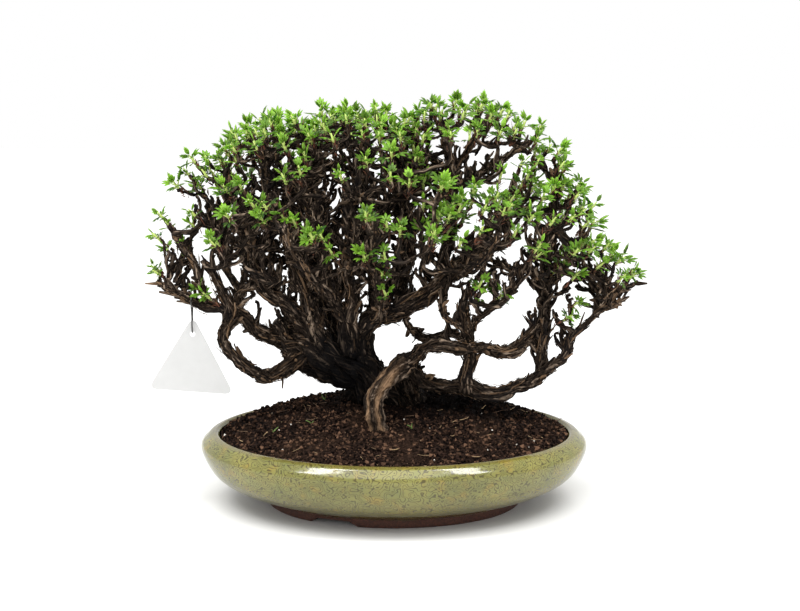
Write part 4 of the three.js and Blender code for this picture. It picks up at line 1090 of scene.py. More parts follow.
# %% Tips of the other shoots
# Each pad: its centre, then its half length, half width and half height.
PADS = np.array([
    (-146, 0, 262, 24, 40, 22), (-98, 5, 262, 48, 84, 53), (-30, 0, 268, 56, 98, 53),
    (55, 8, 302, 52, 44, 24), (70, -35, 226, 50, 48, 30), (122, -5, 234, 34, 58, 33),
    (160, 0, 193, 32, 40, 20), (124, 5, 274, 16, 26, 20),
], float)
SEEN_TIPS = [
    # The top, where the two halves of the crown meet.
    (-6, 0, 317), (8, 0, 311), (18, -5, 304), (2, -22, 306),
    # The left side and the low left branch.
    (-186, -10, 238), (-190, -14, 222), (-190, -20, 197), (-166, -18, 215), (-160, -20, 232),
    (-153, -24, 179), (-174, -5, 262), (-166, 0, 272), (-160, -8, 283), (-157, 5, 261), (-150, -12, 272),
    (-139, -42, 222), (-148, -30, 176), (-124, -45, 295), (-130, -45, 263),
    # The face of the crown.
    (-119, -52, 267), (-109, -60, 254), (-100, -67, 242), (-85, -70, 246), (-76, -72, 241), (-66, -75, 225),
    (-54, -75, 229), (-47, -70, 217), (-84, -66, 274), (-40, -70, 276), (-21, -66, 287), (-2, -75, 276),
    (-17, -90, 246), (-5, -92, 241), (-22, -90, 217), (-9, -82, 204), (-6, -67, 185),
    # The right of the face.
    (12, -75, 271), (5, -85, 236), (31, -80, 230), (42, -75, 245), (42, -60, 268), (62, -60, 265),
    (69, -72, 251), (79, -60, 259), (66, -85, 236), (93, -75, 233), (111, -60, 219), (113, -30, 208),
    (84, -35, 273), (106, -25, 272),
    # The right side.
    (116, 0, 306), (132, 0, 288), (127, -20, 261), (148, 0, 260), (160, 0, 244), (152, -20, 232),
    (156, -25, 218), (170, -10, 212), (142, -45, 213), (164, -20, 199), (182, -10, 202), (193, 2, 190),
    (67, -34, 178), (84, -34, 177), (145, -20, 168),
    # The top at the right.
    (24, -20, 318), (28, 10, 304), (96, -10, 304),
]
CANDIDATES = 9000
TWIG_DRAWS = 20000
ROOM = {"least": 13.5, "face": 15, "low": 9, "left": 8}


def outer_skin(rng):
    """Candidates on the skins of the pads and in no other: centre plus half sizes times a direction."""
    pad = rng.integers(0, len(PADS), CANDIDATES)
    way = unit(rng.normal(size=(CANDIDATES, 3)))
    way[:, 2] = np.where(way[:, 2] < -0.15, -way[:, 2], way[:, 2])
    places = PADS[pad, :3] + PADS[pad, 3:] * way * rng.uniform(0.88, 1.0, (CANDIDATES, 1))
    inside = np.linalg.norm((places[:, None] - PADS[None, :, :3]) / PADS[None, :, 3:], axis=2) < 0.84
    return places[~inside.any(axis=1)]


def room_at(place):
    """How far apart shoots stand: close on top and to the right, wider on the face, low down and far left."""
    x, y, z = place
    face = np.clip((-y - 8) / 30, 0, 1) * np.clip((306 - z) / 20, 0, 1) * (0.3 if x > 15 else 1.0)
    low = np.clip((225 - z) / 40, 0, 1) * (0.3 if x > 60 else 1.0)
    left = np.clip((-140 - x) / 15, 0, 1)
    return ROOM["least"] + ROOM["face"] * face + ROOM["low"] * low + ROOM["left"] * left


def with_room(candidates, taken):
    """Goes through the candidates and keeps each that is far enough from all that are taken or kept."""
    kept = [np.array(tip, float) for tip in taken]
    for place in candidates:
        if np.min(np.linalg.norm(np.array(kept) - place, axis=1)) > room_at(place):
            kept.append(place)
    return np.array(kept[len(taken) :])


crown_rng = np.random.default_rng(SEEDS["crown"])
more_tips = np.vstack([SEEN_TIPS, with_room(outer_skin(crown_rng), TIPS + SEEN_TIPS)])
draws = iter(np.random.default_rng(SEEDS["crown"]).random(TWIG_DRAWS).tolist())
more_routes, more_directions, nodes = grow_twigs(more_tips, nodes, draws, LEAFY_HABIT)
print(len(more_routes), "more shoots")

# %% Thickets
# Each thicket: its centre, its three half sizes, and how many twigs end in it.
THICKETS = np.array([
    (-92, -8, 232, 46, 62, 54, 260), (-42, -8, 244, 48, 66, 66, 350), (-128, 0, 236, 22, 40, 32, 50),
    (-66, 44, 240, 62, 34, 52, 120), (8, 0, 246, 30, 56, 60, 150), (72, -24, 206, 40, 42, 26, 70),
    (126, -2, 214, 22, 34, 34, 64), (160, -4, 184, 26, 26, 16, 34), (50, 12, 282, 38, 26, 20, 34),
    (-172, -16, 203, 16, 14, 22, 22), (-60, -8, 176, 40, 26, 26, 44), (-10, -6, 186, 34, 24, 26, 36),
    (120, -6, 190, 15, 14, 26, 30), (58, -20, 156, 14, 12, 28, 12), (-128, -14, 172, 18, 12, 20, 18),
    (124, -10, 150, 16, 10, 20, 18), (-152, -8, 246, 14, 14, 16, 22), (-50, 0, 300, 50, 40, 22, 60),
    (20, 4, 262, 30, 30, 30, 50),
], float)


def thicket_tips(rng):
    """Tips that fill each thicket evenly: the cube root of a draw is the share of the way out."""
    rows = np.repeat(THICKETS, THICKETS[:, 6].astype(int), axis=0)
    out = rng.random((len(rows), 1)) ** (1 / 3)
    return rows[:, :3] + rows[:, 3:6] * out * unit(rng.normal(size=(len(rows), 3)))


bare_routes, _, nodes = grow_twigs(thicket_tips(crown_rng), nodes, draws, BARE_HABIT)
print(len(bare_routes), "leafless twigs")

# %% Twig surfaces
TWIG_RINGS = 12
TWIG_SIDES = 4
PACKED_SWELL, OTHER_SWELL = 1.4, 1.15


def twig_surfaces(routes, rng, swell):
    """All twigs at once: smooth curves through their routes, kinked by sine waves.

    The radius is the route's times the swell of the twig, a collar that fades from its root, knots, and
    a rough factor that is also drawn within a fifth at each point.
    """
    places = np.linspace(0, 1, TWIG_RINGS)
    centres = np.stack([smooth_path(route[:, :3], places) for route in routes])
    radii = np.stack([np.interp(places * 3, np.arange(4), route[:, 3]) for route in routes])
    _, normals, binormals = path_frames(centres)
    legs = np.linalg.norm(np.diff(centres, axis=1), axis=2)
    along = np.concatenate([np.zeros((len(routes), 1)), np.cumsum(legs, axis=1)], axis=1)
    phase = rng.uniform(0, 2 * np.pi, (4, len(routes), 1))
    window = np.sin(np.pi * np.minimum(1, places * 1.12))[None]
    kink = [0.9 * window * np.sin(along / turn + phase[i]) for i, turn in enumerate((4.3, 3.6))]
    centres = centres + kink[0][..., None] * normals + kink[1][..., None] * binormals
    collar = 1 + 0.5 * np.exp(-along / 6)
    knots = 1 + 0.14 * np.sin(along / 1.9 + phase[2])
    rough = 1 + 0.1 * np.sin(3 * round_angles(TWIG_SIDES) + along[..., None] / 3 + phase[3][..., None])
    rough = rough + rng.uniform(-0.2, 0.2, rough.shape)
    radii = (swell[:, None] * radii * collar * knots)[..., None] * rough
    return centres, radii, normals, binormals, along


def own_grain(count, points, rng):
    """A place in the grain for each of so many pieces, drawn within 900 mm, for each of its points."""
    return np.repeat(rng.uniform(0, 900, (count, 3)), points, axis=0)


def twig_part(surfaces, rng):
    """Twig surfaces as a part, with grain. Each twig reads the grain from a place of its own."""
    centres, radii, normals, binormals, along = surfaces
    points, faces = tubes(centres, radii, TWIG_SIDES, normals, binormals)
    offset = own_grain(len(centres), TWIG_RINGS * TWIG_SIDES, rng)
    grain = grain_of(radii, along[..., None], round_angles(TWIG_SIDES)[None, None], offset)
    return points, faces, {"grain": grain, "tone": np.zeros(len(points))}


twig_rng = np.random.default_rng(SEEDS["twigs"])
all_routes = np.concatenate([routes, packed_bare, more_routes, bare_routes])
packed_count = len(routes) + len(packed_bare)
swell = np.where(np.arange(len(all_routes)) < packed_count, PACKED_SWELL, OTHER_SWELL)
twig_shapes = twig_surfaces(all_routes, twig_rng, swell)
twigs = piece("twigs", twig_part(twig_shapes, twig_rng), BARK)

# %% [markdown]
# ## Dead stubs and peeling strips
#
# What makes this wood look old isn't the limbs but what stands off them: stubs of dead shoots everywhere,
# strips of bark that have come loose at one end, and small flakes. The stubs and the flakes are placed on
# the rings that the limbs and the twigs are made of, and the strips on the limbs. A strip is a thin tube
# with four sides, laid along the limb. The front root is smoother, with bands worn bare that are also its
# painted highlight, so it bears none.

# %% Stubs
LIMB_STUBS, TWIG_STUBS = 1500, 1400
# Stubs on limbs start above this height, and only where the limb is thinner than this radius.
LOWEST_STUB, THICKEST_STUBBED = 98, 11
STUB_RINGS = 4
FRAME_KEYS = ("centres", "tangents", "normals", "binormals")
shaggy = {name: limb for name, limb in limbs.items() if name != "front_root"}


def ring_table():
    """Rings of the shaggy limbs and of the twigs: centre, tangent, normal, binormal and mean radius."""
    rows = []
    for limb in shaggy.values():
        mean = limb["radii"].mean(axis=1)[:, None]
        rows.append(np.hstack([*(limb[key] for key in FRAME_KEYS), mean])[2:-2])
    centres, radii, normals, binormals, _ = twig_shapes
    tangents = np.cross(normals, binormals)
    table = np.concatenate([centres, tangents, normals, binormals, radii.mean(axis=2, keepdims=True)], axis=2)
    return np.vstack(rows), table[:, 2:-3].reshape(-1, 13)


def stubs(rows, rng, longest, thick):
    """Short tapering tubes: out from the wood at a slant, bending along it, thinner towards a broken end.

    The centre line is length times share times (way + share times the bend along the wood).
    """
    count = len(rows)
    centre, tangent, normal, binormal, radius = np.split(rows, (3, 6, 9, 12), axis=1)
    angle = rng.uniform(0, 2 * np.pi, (count, 1))
    out = outward(angle, normal, binormal)
    way = unit(out + rng.uniform(0.4, 1.8, (count, 1)) * tangent + (0, 0, 0.4))
    length = radius + 2 + longest * rng.random((count, 1)) ** 2
    share = np.linspace(0, 1, STUB_RINGS)[None, :, None]
    bend = rng.uniform(-0.35, 0.45, (count, 1))
    centres = centre[:, None] + length[:, None] * share * (way[:, None] + share * (bend * tangent)[:, None])
    tangents = unit(np.gradient(centres, axis=1))
    normals = unit(np.cross(tangents, binormal[:, None] + 0.01))
    taper = np.interp(share[0, :, 0], (0, 0.7, 1), (1.7, 1.3, 0.75))[None] * thick
    taper = taper * rng.uniform(0.6, 1.4, (count, 1))
    taper = taper * (1 + 0.25 * rng.normal(size=(count, STUB_RINGS)).clip(-1, 1))
    points, faces = tubes(centres, taper, TWIG_SIDES, normals, np.cross(tangents, normals))
    along = (length * share[0, :, 0])[..., None]
    radii = np.broadcast_to(taper[..., None], (count, STUB_RINGS, TWIG_SIDES))
    each = STUB_RINGS * TWIG_SIDES
    grain = grain_of(radii, along, round_angles(TWIG_SIDES), own_grain(count, each, rng))
    return points, faces, {"grain": grain, "tone": np.repeat(rng.random(count) ** 5 * 0.7, each)}


stub_rng = np.random.default_rng(SEEDS["stubs"])
limb_rings, twig_rings = ring_table()
on_limbs = limb_rings[(limb_rings[:, 2] > LOWEST_STUB) & (limb_rings[:, 12] < THICKEST_STUBBED)]
on_limbs = on_limbs[stub_rng.integers(0, len(on_limbs), LIMB_STUBS)]
on_twigs = twig_rings[stub_rng.integers(0, len(twig_rings), TWIG_STUBS)]
stub_parts = [stubs(on_limbs, stub_rng, 9, 1.0), stubs(on_twigs, stub_rng, 7, 0.75)]
stub_piece = piece("dead_stubs", joined(stub_parts), BARK)

# %% Peeling strips
# One strip for this many square millimetres of bark, on limbs with more rings than the least.
STRIP_SHARE = 44
LEAST_RINGS = 14
STRIP_RINGS = 5


def peeling_strips(limb, count, rng):
    """Strips on one limb: each runs some rings along at a slowly turning angle, thin, and wide in the middle.

    Its centre lies on the limb's surface, raised by the cube of the way to its free end.
    """
    rings, sides = limb["radii"].shape
    span = rng.uniform(7, 28, count) / RING_STEP
    first = rng.uniform(1, np.maximum(2, rings - 2 - span), count)
    share = np.linspace(0, 1, STRIP_RINGS)[None]
    free_above = rng.random(count)[:, None] < 0.6
    place = first[:, None] + span[:, None] * share
    low = np.clip(place.astype(int), 0, rings - 2)
    part = np.clip(place - low, 0, 1)[..., None]
    frames = (limb[key][low] * (1 - part) + limb[key][low + 1] * part for key in FRAME_KEYS)
    middle, along, normal, binormal = frames
    angle = rng.uniform(0, 2 * np.pi, (count, 1)) + rng.uniform(-0.5, 0.5, (count, 1)) * share
    side = (angle / (2 * np.pi) * sides).astype(int) % sides
    radial = unit(outward(angle[..., None], normal, binormal))
    free = np.where(free_above, share, 1 - share)
    lift = 0.15 + 4.5 * rng.random((count, 1)) ** 2 * free**3
    centres = middle + (limb["radii"][low, side] + lift)[..., None] * radial
    width = rng.uniform(0.4, 1.5, (count, 1)) * (0.35 + 0.65 * np.sin(np.pi * (0.12 + 0.76 * share)))
    thin = np.full_like(width, 0.22)
    shape = np.stack([width, thin, width, thin], axis=-1)
    points, faces = tubes(centres, shape, 4, np.cross(radial, unit(along)), radial)
    corner = np.array([0, 0.5, 1, 0.5]) * np.pi
    each = 4 * STRIP_RINGS
    grain = grain_of(shape, (place * RING_STEP)[..., None], corner, own_grain(count, each, rng))
    return points, faces, {"grain": grain, "tone": np.repeat(rng.random(count) ** 4 * 0.8, each)}


strip_rng = np.random.default_rng(SEEDS["strips"])
strip_parts = []
for limb in shaggy.values():
    if len(limb["along"]) > LEAST_RINGS:
        area = limb["along"][-1] * limb["radii"].mean() * 2 * np.pi
        strip_parts.append(peeling_strips(limb, int(area / STRIP_SHARE), strip_rng))
strips = piece("bark_strips", joined(strip_parts), BARK)

# %% Bark flakes
LIMB_FLAKES, TWIG_FLAKES = 6500, 10000


def flakes(rows, rng, length, width):
    """Eight-sided flakes on rings of wood: long along it, narrower across, flat, one end standing off.

    A flake has the six ends of three crossed axes: along the wood, across it, and away from it.
    """
    count = len(rows)
    centre, tangent, normal, binormal, radius = np.split(rows, (3, 6, 9, 12), axis=1)
    angle = rng.uniform(0, 2 * np.pi, (count, 1))
    radial = outward(angle, normal, binormal)
    side = np.cross(tangent, radial)
    way = unit(tangent + rng.normal(0, 0.3, (count, 1)) * side + rng.uniform(-0.5, 0.5, (count, 1)) * radial)
    across = unit(np.cross(way, radial))
    size = rng.uniform(0.5, 1.4, (count, 3)) * (length, width, 0.7 * width)
    axes = np.stack([way, across, np.cross(across, way)], axis=1) * size[:, :, None]
    points = (centre + 0.95 * radius * radial)[:, None] + np.concatenate([axes, -axes], axis=1)
    run = GRAIN_STRETCH * length
    ends = np.array([(0, 0, run), (width, 0, 0), (0, 0, 0), (0, 0, -run), (-width, 0, 0), (0, 0, 0)])
    grain = (np.tile(ends, (count, 1)) + own_grain(count, 6, rng)) * MM
    traits = {"grain": grain, "tone": np.repeat(rng.random(count) ** 5 * 0.8, 6)}
    return points.reshape(-1, 3), [repeated(OCTAHEDRON, count, 6)], traits


flake_rng = np.random.default_rng(SEEDS["flakes"])
coarse = limb_rings[flake_rng.integers(0, len(limb_rings), LIMB_FLAKES)]
fine = twig_rings[flake_rng.integers(0, len(twig_rings), TWIG_FLAKES)]
for name, rows, length, width in (("limb_flakes", coarse, 3.8, 0.9), ("twig_flakes", fine, 2.8, 0.6)):
    flake_piece = piece(name, flakes(rows, flake_rng, length, width), BARK)

# %% [markdown]
# ## Papery scales
#
# Under each green shoot sit the dry stipules of last year's leaves: a tuft of pointed, rust-brown paper
# scales that makes the end of every twig thicker than the twig itself. Each is a thin four-sided tube with
# three rings.

# %% Scales under the shoots
def papery_stipules():
    """Rust-brown paper: each scale has a tone between two browns, with paler streaks."""
    made, tree, shader = new_material("dry_papery_stipules", Roughness=0.75, Specular_IOR_Level=0.25)
    place = place_on(tree)
    tone = trait_of(tree, "tone")
    streak = noise(tree, place, 1.4, detail=3.0)
    colour = blended(tree, tone, "#2a1813", "#6f4230")
    colour = blended(tree, stretched(tree, streak, 0.5, 0.7, 0, 0.55), colour, "#8d6449")
    tree.links.new(colour, shader.inputs["Base Color"])
    bumped(tree, shader, streak, 0.2)
    return made


def side_frame(directions):
    """Two directions square to each direction: one level, and one square to both."""
    level = unit(np.cross((0, 0, 1.0), directions))
    return level, np.cross(directions, level)


SCALES = 8
SCALE_RINGS = 3
shoot_tips = np.concatenate([routes, more_routes])[:, -1, :3]
shoot_ways = np.concatenate([directions, more_directions])


def scale_part(tips, ways, rng):
    """Scales round the last centimetre of each twig: each starts on the twig and leans out as it rises."""
    count = len(tips) * SCALES
    way = np.repeat(ways, SCALES, axis=0)
    level, cross = side_frame(way)
    angle = rng.uniform(0, 2 * np.pi, (count, 1))
    radial = outward(angle, level, cross)
    start = np.repeat(tips, SCALES, axis=0) - way * rng.uniform(-1.5, 11, (count, 1)) + 0.9 * radial
    lean = rng.uniform(0.15, 0.75, (count, 1))
    length = rng.uniform(2.8, 6.5, (count, 1))
    share = np.array([0, 0.45, 1])[None, :, None]
    rise = unit(way + lean * radial)
    centres = start[:, None] + length[:, None] * share * (rise[:, None] + 0.25 * share * radial[:, None])
    tangents = unit(np.gradient(centres, axis=1))
    across = unit(np.cross(tangents, radial[:, None]))
    wide = rng.uniform(0.45, 1.0, (count, 1)) * np.array([0.8, 1.0, 0.12])
    thin = np.broadcast_to([0.25, 0.22, 0.06], wide.shape)
    shape = np.stack([wide, thin, wide, thin], axis=-1)
    points, faces = tubes(centres, shape, 4, across, np.cross(tangents, across))
    return points, faces, {"tone": np.repeat(rng.random(count), 4 * SCALE_RINGS)}


scale_rng = np.random.default_rng(SEEDS["scales"])
scales = piece("bud_scales", scale_part(shoot_tips, shoot_ways, scale_rng), papery_stipules())

# %% [markdown]
# ## Leaves
#
# A cinquefoil leaf has a short stalk and five narrow leaflets spread like fingers. Each leaflet here is a
# closed spindle: a point at its base, two four-cornered rings that fold the blade along its rib, and a
# point at its tip. It has twelve faces, so well over a thousand leaves stay light. Pigment follows age: the
# leaf bases and the youngest blades are yellow-green, and the open ones a fresh mid green, paler below.

# %% Leaf material
def cinquefoil_leaf():
    """Green by the leaf's age, mottled, paler on its underside and yellow-green towards its stalk."""
    made, tree, shader = new_material("cinquefoil_leaf", Roughness=0.42, Specular_IOR_Level=0.3,
                                      Subsurface_Weight=0.15, Subsurface_Scale=0.0015)
    shader.inputs["Subsurface Radius"].default_value = (0.45, 1.0, 0.2)
    place = place_on(tree)
    tone, reach, under = (trait_of(tree, name) for name in ("tone", "reach", "under"))
    mottle = noise(tree, place, 3.5, detail=2.0)
    colour = blended(tree, tone, "#1c3908", "#7aad28")
    colour = blended(tree, stretched(tree, mottle, 0.45, 0.7, 0, 0.3), colour, "#93c03f")
    colour = blended(tree, stretched(tree, under, 0.5, 1, 0, 0.5), colour, "#6f8f45")
    colour = blended(tree, stretched(tree, reach, 0.3, 0.08), colour, "#b3c46c")
    tree.links.new(colour, shader.inputs["Base Color"])
    bumped(tree, shader, mottle, 0.15)
    return made


LEAF_MATERIAL = cinquefoil_leaf()
print("made", LEAF_MATERIAL.name)

# %% Leaf shape
LEAF = {"stalk_radius": 0.4, "droop": 0.02}
# Each leaflet: its angle from the middle one in degrees, its length and its half width.
LEAFLETS = ((-76, 7.2, 1.3), (-38, 9.2, 1.5), (0, 10.6, 1.6), (38, 9.2, 1.5), (76, 7.2, 1.3))
RING_CORNERS = np.array([(-1, 0.32), (0, 0), (1, 0.32), (0, -0.3)])
# Each ring: the share of the way along the leaflet, and its share of the half width.
LEAFLET_RINGS = ((0.38, 0.8), (0.72, 0.95))
LEAFLET_POINTS = 10
STALK_SIDES = 3
HUB = len(LEAFLETS) * LEAFLET_POINTS
LEAF_POINTS = HUB + 2 * STALK_SIDES


def leaflet_faces(start):
    """The twelve faces of a spindle whose points start at that number: base, two rings of four, tip."""
    base, first, second, tip = start, start + 1, start + 5, start + 9
    around = np.arange(4)
    after = (around + 1) % 4
    lower = np.stack([np.full(4, base), first + around, first + after], axis=-1)
    sides = np.stack([first + around, second + around, second + after, first + after], axis=-1)
    upper = np.stack([second + around, np.full(4, tip), second + after], axis=-1)
    return [lower, sides, upper]


def leaf_points(spread, fold, droop, stalk):
    """The points of many leaves, each in its own plane: along the stalk, across it, and up from it.

    A leaflet's point lies a share of the way along its rib, aside by that ring's half width, and up by
    the fold. Then every point sinks by the droop times the square of its distance from the hub.
    """
    many = len(spread)
    blocks = []
    for angle, length, half in LEAFLETS:
        turn = np.radians(angle) * spread
        rib = np.stack([np.cos(turn), np.sin(turn)], axis=-1)
        side = np.stack([-np.sin(turn), np.cos(turn)], axis=-1)
        flat, high = [0.12 * length * rib], [np.zeros(many)]
        for share, wide in LEAFLET_RINGS:
            for aside, up in RING_CORNERS:
                flat.append(share * length * rib + aside * wide * half * side)
                lift = fold * up * wide * half if up > 0 else np.full(many, up)
                high.append(lift)
        flat.append(length * rib)
        high.append(np.zeros(many))
        flat, high = np.stack(flat, axis=1), np.stack(high, axis=1)
        high = high - droop[:, None] * (flat**2).sum(axis=-1)
        flat[..., 0] += stalk[:, None]
        blocks.append(np.dstack([flat, high]))
    angle = round_angles(STALK_SIDES)
    ring = LEAF["stalk_radius"] * np.stack([0 * angle, np.cos(angle), np.sin(angle)], axis=-1)
    near = np.broadcast_to(1.6 * ring, (many, STALK_SIDES, 3))
    far = ring + (stalk + 1.2)[:, None, None] * np.array((1.0, 0, 0))
    return np.concatenate([*blocks, near, far], axis=1)


def leaf_faces():
    """Faces of one leaf, its leaflets' and its stalk's, with quads and triangles apart."""
    groups = [leaflet_faces(LEAFLET_POINTS * i) for i in range(len(LEAFLETS))]
    quads = [sides for _, sides, _ in groups]
    triangles = [faces for lower, _, upper in groups for faces in (lower, upper)]
    tube, near_end, far_end = closed_grid(2, STALK_SIDES)
    quads.append(tube + HUB)
    triangles += [near_end + HUB, far_end + HUB]
    return np.vstack(quads), np.vstack(triangles)


# Two traits of each point: how far it faces down, and how far along the leaf it lies.
under_leaflet = np.repeat([0.5, 0, 1, 0, 1, 0.5], [1, 3, 1, 3, 1, 1])
reach_leaflet = np.repeat([0.35, 0.6, 0.85, 1], [1, 4, 4, 1])
UNDER = np.concatenate([np.tile(under_leaflet, len(LEAFLETS)), np.full(2 * STALK_SIDES, 0.5)])
REACH = np.concatenate([np.tile(reach_leaflet, len(LEAFLETS)), np.repeat([0.05, 0.2], STALK_SIDES)])
print(LEAF_POINTS, "points in a leaf")

# %% Shoots with their leaves
STEM_SIDES = 5
GOLDEN_ANGLE = 137.5
WEAK_SIDE = {"left_of": -150, "below": 250, "vigour": 0.8}


def leafy_part(tips, ways, rng):
    """Green stems with leaves. A leaf stands at a height of 0.5 + 4.5 youth, turned by the golden angle.

    Youth runs from 0 for a shoot's lowest leaf to 1 for its top one. The oldest leaves lean out
    furthest. The youngest stands upright in the middle, with its leaflets still laid together like a
    spear. Each leaf is turned about its stalk so that its upper face looks up more than its shoot alone
    would have it. Shoots low on the far left are weaker, so theirs are smaller.
    """
    each = rng.integers(4, 7, len(tips))
    shoot = np.repeat(np.arange(len(tips)), each)
    order = np.arange(len(shoot)) - np.repeat(np.cumsum(each) - each, each)
    youth = order / (np.repeat(each, each) - 1)
    weak = (tips[:, 0] < WEAK_SIDE["left_of"]) & (tips[:, 2] < WEAK_SIDE["below"])
    vigour = (rng.uniform(0.7, 1.02, len(tips)) * np.where(weak, WEAK_SIDE["vigour"], 1))[shoot]
    size = vigour * (0.76 + 0.3 * np.sin(np.pi * (0.15 + 0.7 * youth))) * rng.uniform(0.85, 1.15, len(shoot))
    start = rng.uniform(0, 2 * np.pi, len(tips))[shoot]
    azimuth = (start + np.radians(GOLDEN_ANGLE) * order + rng.normal(0, 0.25, len(shoot)))[:, None]
    tilt = np.radians(80 - 66 * youth + rng.normal(0, 9, len(shoot)))[:, None]
    way = ways[shoot]
    level, cross = side_frame(way)
    radial = outward(azimuth, level, cross)
    out = outward(tilt, way, radial)
    up = np.sin(tilt) * way - np.cos(tilt) * radial + 0.45 * np.sin(tilt) * np.array((0, 0, 1.0))
    up = unit(up - (up * out).sum(-1, keepdims=True) * out)
    across = np.cross(up, out)
    root = tips[shoot] + way * (0.5 + 4.5 * youth)[:, None] + 0.6 * radial
    fold = rng.uniform(0.6, 2.2, len(shoot)) + youth
    droop = LEAF["droop"] * rng.uniform(-0.5, 1.8, len(shoot))
    own = leaf_points(1.05 - 0.72 * youth**2, fold, droop, rng.uniform(1.8, 4.6, len(shoot)))
    own[..., 1] *= (1 - 0.35 * youth**2)[:, None]
    own = own * size[:, None, None]
    points = root[:, None] + own[..., :1] * out[:, None] + own[..., 1:2] * across[:, None]
    points = points + own[..., 2:] * up[:, None]
    faces = [repeated(face, len(shoot), LEAF_POINTS) for face in leaf_faces()]
    tone = np.clip(0.15 + 0.6 * youth + rng.normal(0, 0.24, len(shoot)), 0, 1)
    traits = {"tone": np.repeat(tone, LEAF_POINTS), "under": np.tile(UNDER, len(shoot)),
              "reach": np.tile(REACH, len(shoot))}
    leaves = (points.reshape(-1, 3), faces, traits)

    heights = np.array([-2.0, 3.0, 8.0])
    centres = tips[:, None] + heights[None, :, None] * ways[:, None]
    normals, binormals = (np.repeat(side[:, None], len(heights), axis=1) for side in side_frame(ways))
    radii = np.broadcast_to([1.25, 1.1, 0.5], (len(tips), 3))
    stem_points, stem_faces = tubes(centres, radii, STEM_SIDES, normals, binormals)
    count = len(stem_points)
    stem_traits = {"tone": np.full(count, 0.6), "under": np.full(count, 0.0), "reach": np.full(count, 0.1)}
    return joined([leaves, (stem_points, stem_faces, stem_traits)])


# The crown in six regions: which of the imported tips, counted from 0, each holds.
REGIONS = {"top": (0, 12), "left": (12, 21), "right": (21, 29), "face": (29, 39), "back": (39, 46),
           "inner": (46, 53)}
region_of_tip = np.concatenate([np.full(last - first, i) for i, (first, last) in enumerate(REGIONS.values())])
nearest = np.linalg.norm(shoot_tips[:, None] - np.array(TIPS, float)[None], axis=2).argmin(axis=1)
leaf_rng = np.random.default_rng(SEEDS["leaves"])
for i, (region, (first, last)) in enumerate(REGIONS.items()):
    mine = region_of_tip[nearest] == i
    foliage = leafy_part(shoot_tips[mine], shoot_ways[mine], leaf_rng)
    foliage = piece("foliage_" + region, foliage, LEAF_MATERIAL)
    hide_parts(*(f"spray_{number:02d}" for number in range(first + 1, last + 1)))

# %% [markdown]
# ## Label
#
# Growers hang a plastic label from a low branch. It is three-cornered with round corners, and bare. The
# plate is one closed surface: rings of points that run from the hole out to the edge, over it and back.

# %% Label plate
LABEL = {"hole": (-163, -26, 146), "hole_radius": 2.2, "thickness": 1.2, "corner_radius": 5, "turn": 2}
LABEL_CORNERS = np.array([(0, 15), (34.5, -49), (-35.5, -46.5)])


def label_outline():
    """The three-cornered outline: a quadratic curve at each corner, with points along the edges between.

    The curve is (1 - t) squared times its start, plus 2 t (1 - t) times the corner, plus t squared times
    its end.
    """
    share = np.linspace(0, 1, 10)[:, None]
    turns = []
    for i, corner in enumerate(LABEL_CORNERS):
        before, after = (unit(LABEL_CORNERS[(i + k) % 3] - corner) for k in (2, 1))
        cut = LABEL["corner_radius"] / np.tan(np.arccos(before @ after) / 2)
        start, end = corner + cut * before, corner + cut * after
        turns.append((1 - share) ** 2 * start + 2 * share * (1 - share) * corner + share**2 * end)
    edge = np.linspace(0, 1, 20)[1:-1, None]
    edges = []
    for i, turn in enumerate(turns):
        edges += [turn, turn[-1] + edge * (turns[(i + 1) % 3][0] - turn[-1])]
    return np.vstack(edges)


def label_part():
    """Rings from the hole to the outline on the front, over the edge, and back to the hole on the rear."""
    outline = label_outline()
    ring = unit(outline) * LABEL["hole_radius"]
    half, bevel = LABEL["thickness"] / 2, 0.25
    steps = [(0, 0.05, half), (0, 0.3, half), (0.5, 0, half), (1, -bevel, half), (1, 0, half - bevel)]
    steps += [(share, grow, -depth) for share, grow, depth in steps[::-1]]
    rows = []
    for share, grow, depth in steps:
        flat = ring + share * (outline - ring)
        flat = flat + grow * unit(flat)
        rows.append(np.column_stack([flat[:, 0], np.full(len(flat), -depth), flat[:, 1]]))
    rows = np.array(rows)
    count, sides = rows.shape[:2]
    faces = grid_faces(count + 1, sides) % (count * sides)
    turn = np.radians(LABEL["turn"])
    x, y, z = rows.reshape(-1, 3).T
    places = np.column_stack([x * np.cos(turn) + z * np.sin(turn), y, z * np.cos(turn) - x * np.sin(turn)])
    return places + LABEL["hole"], [faces], {}


white_polystyrene = mottled("white_polystyrene", 9, ("#c2c2c1", "#bfbfbe"), (0.4, 0.7), 0.05,
                            roughness=(0.3, 0.7, 0.28, 0.42), IOR=1.57)
label = piece("label_tag", label_part(), white_polystyrene)
label.data.set_sharp_from_angle(angle=np.radians(30))
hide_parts("label_plate")

# %% Label wire
WIRE = {"radius": 0.55, "branch": (-163, -26, 173), "reach": 6.6, "over": 5.5, "slack": 2.8, "gap": 0.3}


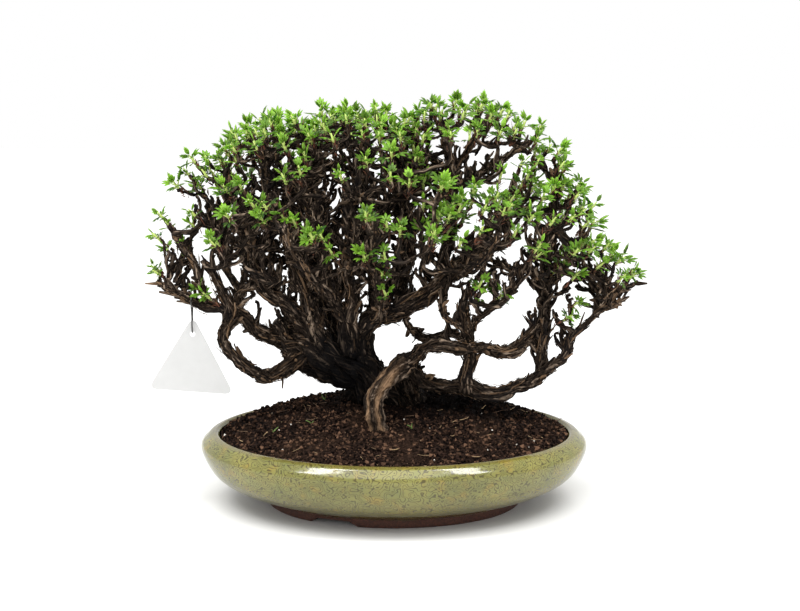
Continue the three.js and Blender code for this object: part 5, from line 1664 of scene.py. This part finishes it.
def wire_part(rings=120, sides=8):
    """One closed link through the hole and over the branch: a smooth upright loop with a round section."""
    x, y, hole_height = LABEL["hole"]
    branch_x, branch_y, branch_height = WIRE["branch"]
    low = hole_height + LABEL["hole_radius"] - WIRE["radius"] - WIRE["gap"]
    reach, over, slack = WIRE["reach"], WIRE["over"], WIRE["slack"]
    front = [(x, y - 0.7 * slack, low + 1.6), (x, y - slack, low + 6), (x, y - slack, low + 15)]
    front += [(branch_x, branch_y - reach, branch_height - 1)]
    front += [(branch_x, branch_y - 0.6 * reach, branch_height + 0.85 * over)]
    back = [(fx, 2 * y - fy, fz) for fx, fy, fz in front[::-1]]
    loop = [(x, y, low), *front, (branch_x, branch_y, branch_height + over), *back]
    lapped = np.array([*loop[-2:], *loop, *loop[:3]])
    places = (2 + np.arange(rings) / rings * len(loop)) / (len(lapped) - 1)
    centres = smooth_path(lapped, places)
    tangents = unit(np.roll(centres, -1, axis=0) - np.roll(centres, 1, axis=0))
    sideways = np.broadcast_to((1.0, 0, 0), centres.shape)
    square = np.cross(tangents, sideways)
    around = outward(round_angles(sides)[:, None], sideways[:, None], square[:, None])
    points = centres[:, None] + WIRE["radius"] * around
    return points.reshape(-1, 3), [grid_faces(rings + 1, sides) % (rings * sides)], {}


annealed_steel = mottled("annealed_steel_wire", 1.8, ("#2b2a2a", "#6a6865"), (0.4, 0.7), 0.03,
                         roughness=(0.3, 0.7, 0.3, 0.5), Metallic=0.9)
wire = piece("label_link", wire_part(), annealed_steel)
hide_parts("label_wire")

# %% [markdown]
# ## Floor and light
#
# The photograph was taken on white, under large soft lights that leave two long reflections on the pot's
# shoulder. A white world lights everything evenly, a broad light above gives the crown its modelling, and
# two long strips at the front make the reflections.

# %% Floor
def pale_floor():
    """Plain matt white, a little off full white."""
    made, _, shader = new_material("pale_floor", Roughness=0.9, Specular_IOR_Level=0.1)
    shader.inputs["Base Color"].default_value = linear("#ececeb")
    return made


FLOOR_HALF = 3000
corner = FLOOR_HALF * np.array([(-1, -1, 0), (1, -1, 0), (1, 1, 0), (-1, 1, 0)], float)
floor = piece("floor", (corner, [np.arange(4)[None]], {}), pale_floor(), smooth=False)

# %% Lights
def area_light(name, place, aim, size, power):
    """A rectangular light at a place, turned so that it looks at another, both in millimetres."""
    lamp = bpy.data.lights.new(name, "AREA")
    lamp.shape = "RECTANGLE"
    lamp.size, lamp.size_y = size[0] * MM, size[1] * MM
    lamp.energy = power
    made = bpy.data.objects.new(name, lamp)
    made.location = Vector(place) * MM
    made.rotation_euler = (Vector(aim) - Vector(place)).to_track_quat("-Z", "Y").to_euler()
    bpy.context.scene.collection.objects.link(made)


STRIP = {"aside": 600, "front": -420, "height": 1300, "aim": (0, 0, 60), "size": (240, 760), "power": 9}
CEILING = {"spread": 50, "power": 1.4, "lean": 28, "turn": -12}

for side, way in (("left", -1), ("right", 1)):
    place = (way * STRIP["aside"], STRIP["front"], STRIP["height"])
    area_light(side + "_strip", place, STRIP["aim"], STRIP["size"], STRIP["power"])

sun_data = bpy.data.lights.new("ceiling", "SUN")
sun_data.angle = np.radians(CEILING["spread"])
sun_data.energy = CEILING["power"]
sun = bpy.data.objects.new("ceiling", sun_data)
sun.rotation_euler = Euler((np.radians(CEILING["lean"]), 0, np.radians(CEILING["turn"])))
bpy.context.scene.collection.objects.link(sun)

world = bpy.data.worlds.new("white_studio")
world.use_nodes = True
background = world.node_tree.nodes["Background"]
background.inputs["Color"].default_value = (1, 1, 1, 1)
background.inputs["Strength"].default_value = 1.0
bpy.context.scene.world = world
bpy.context.scene.view_settings.view_transform = "Standard"
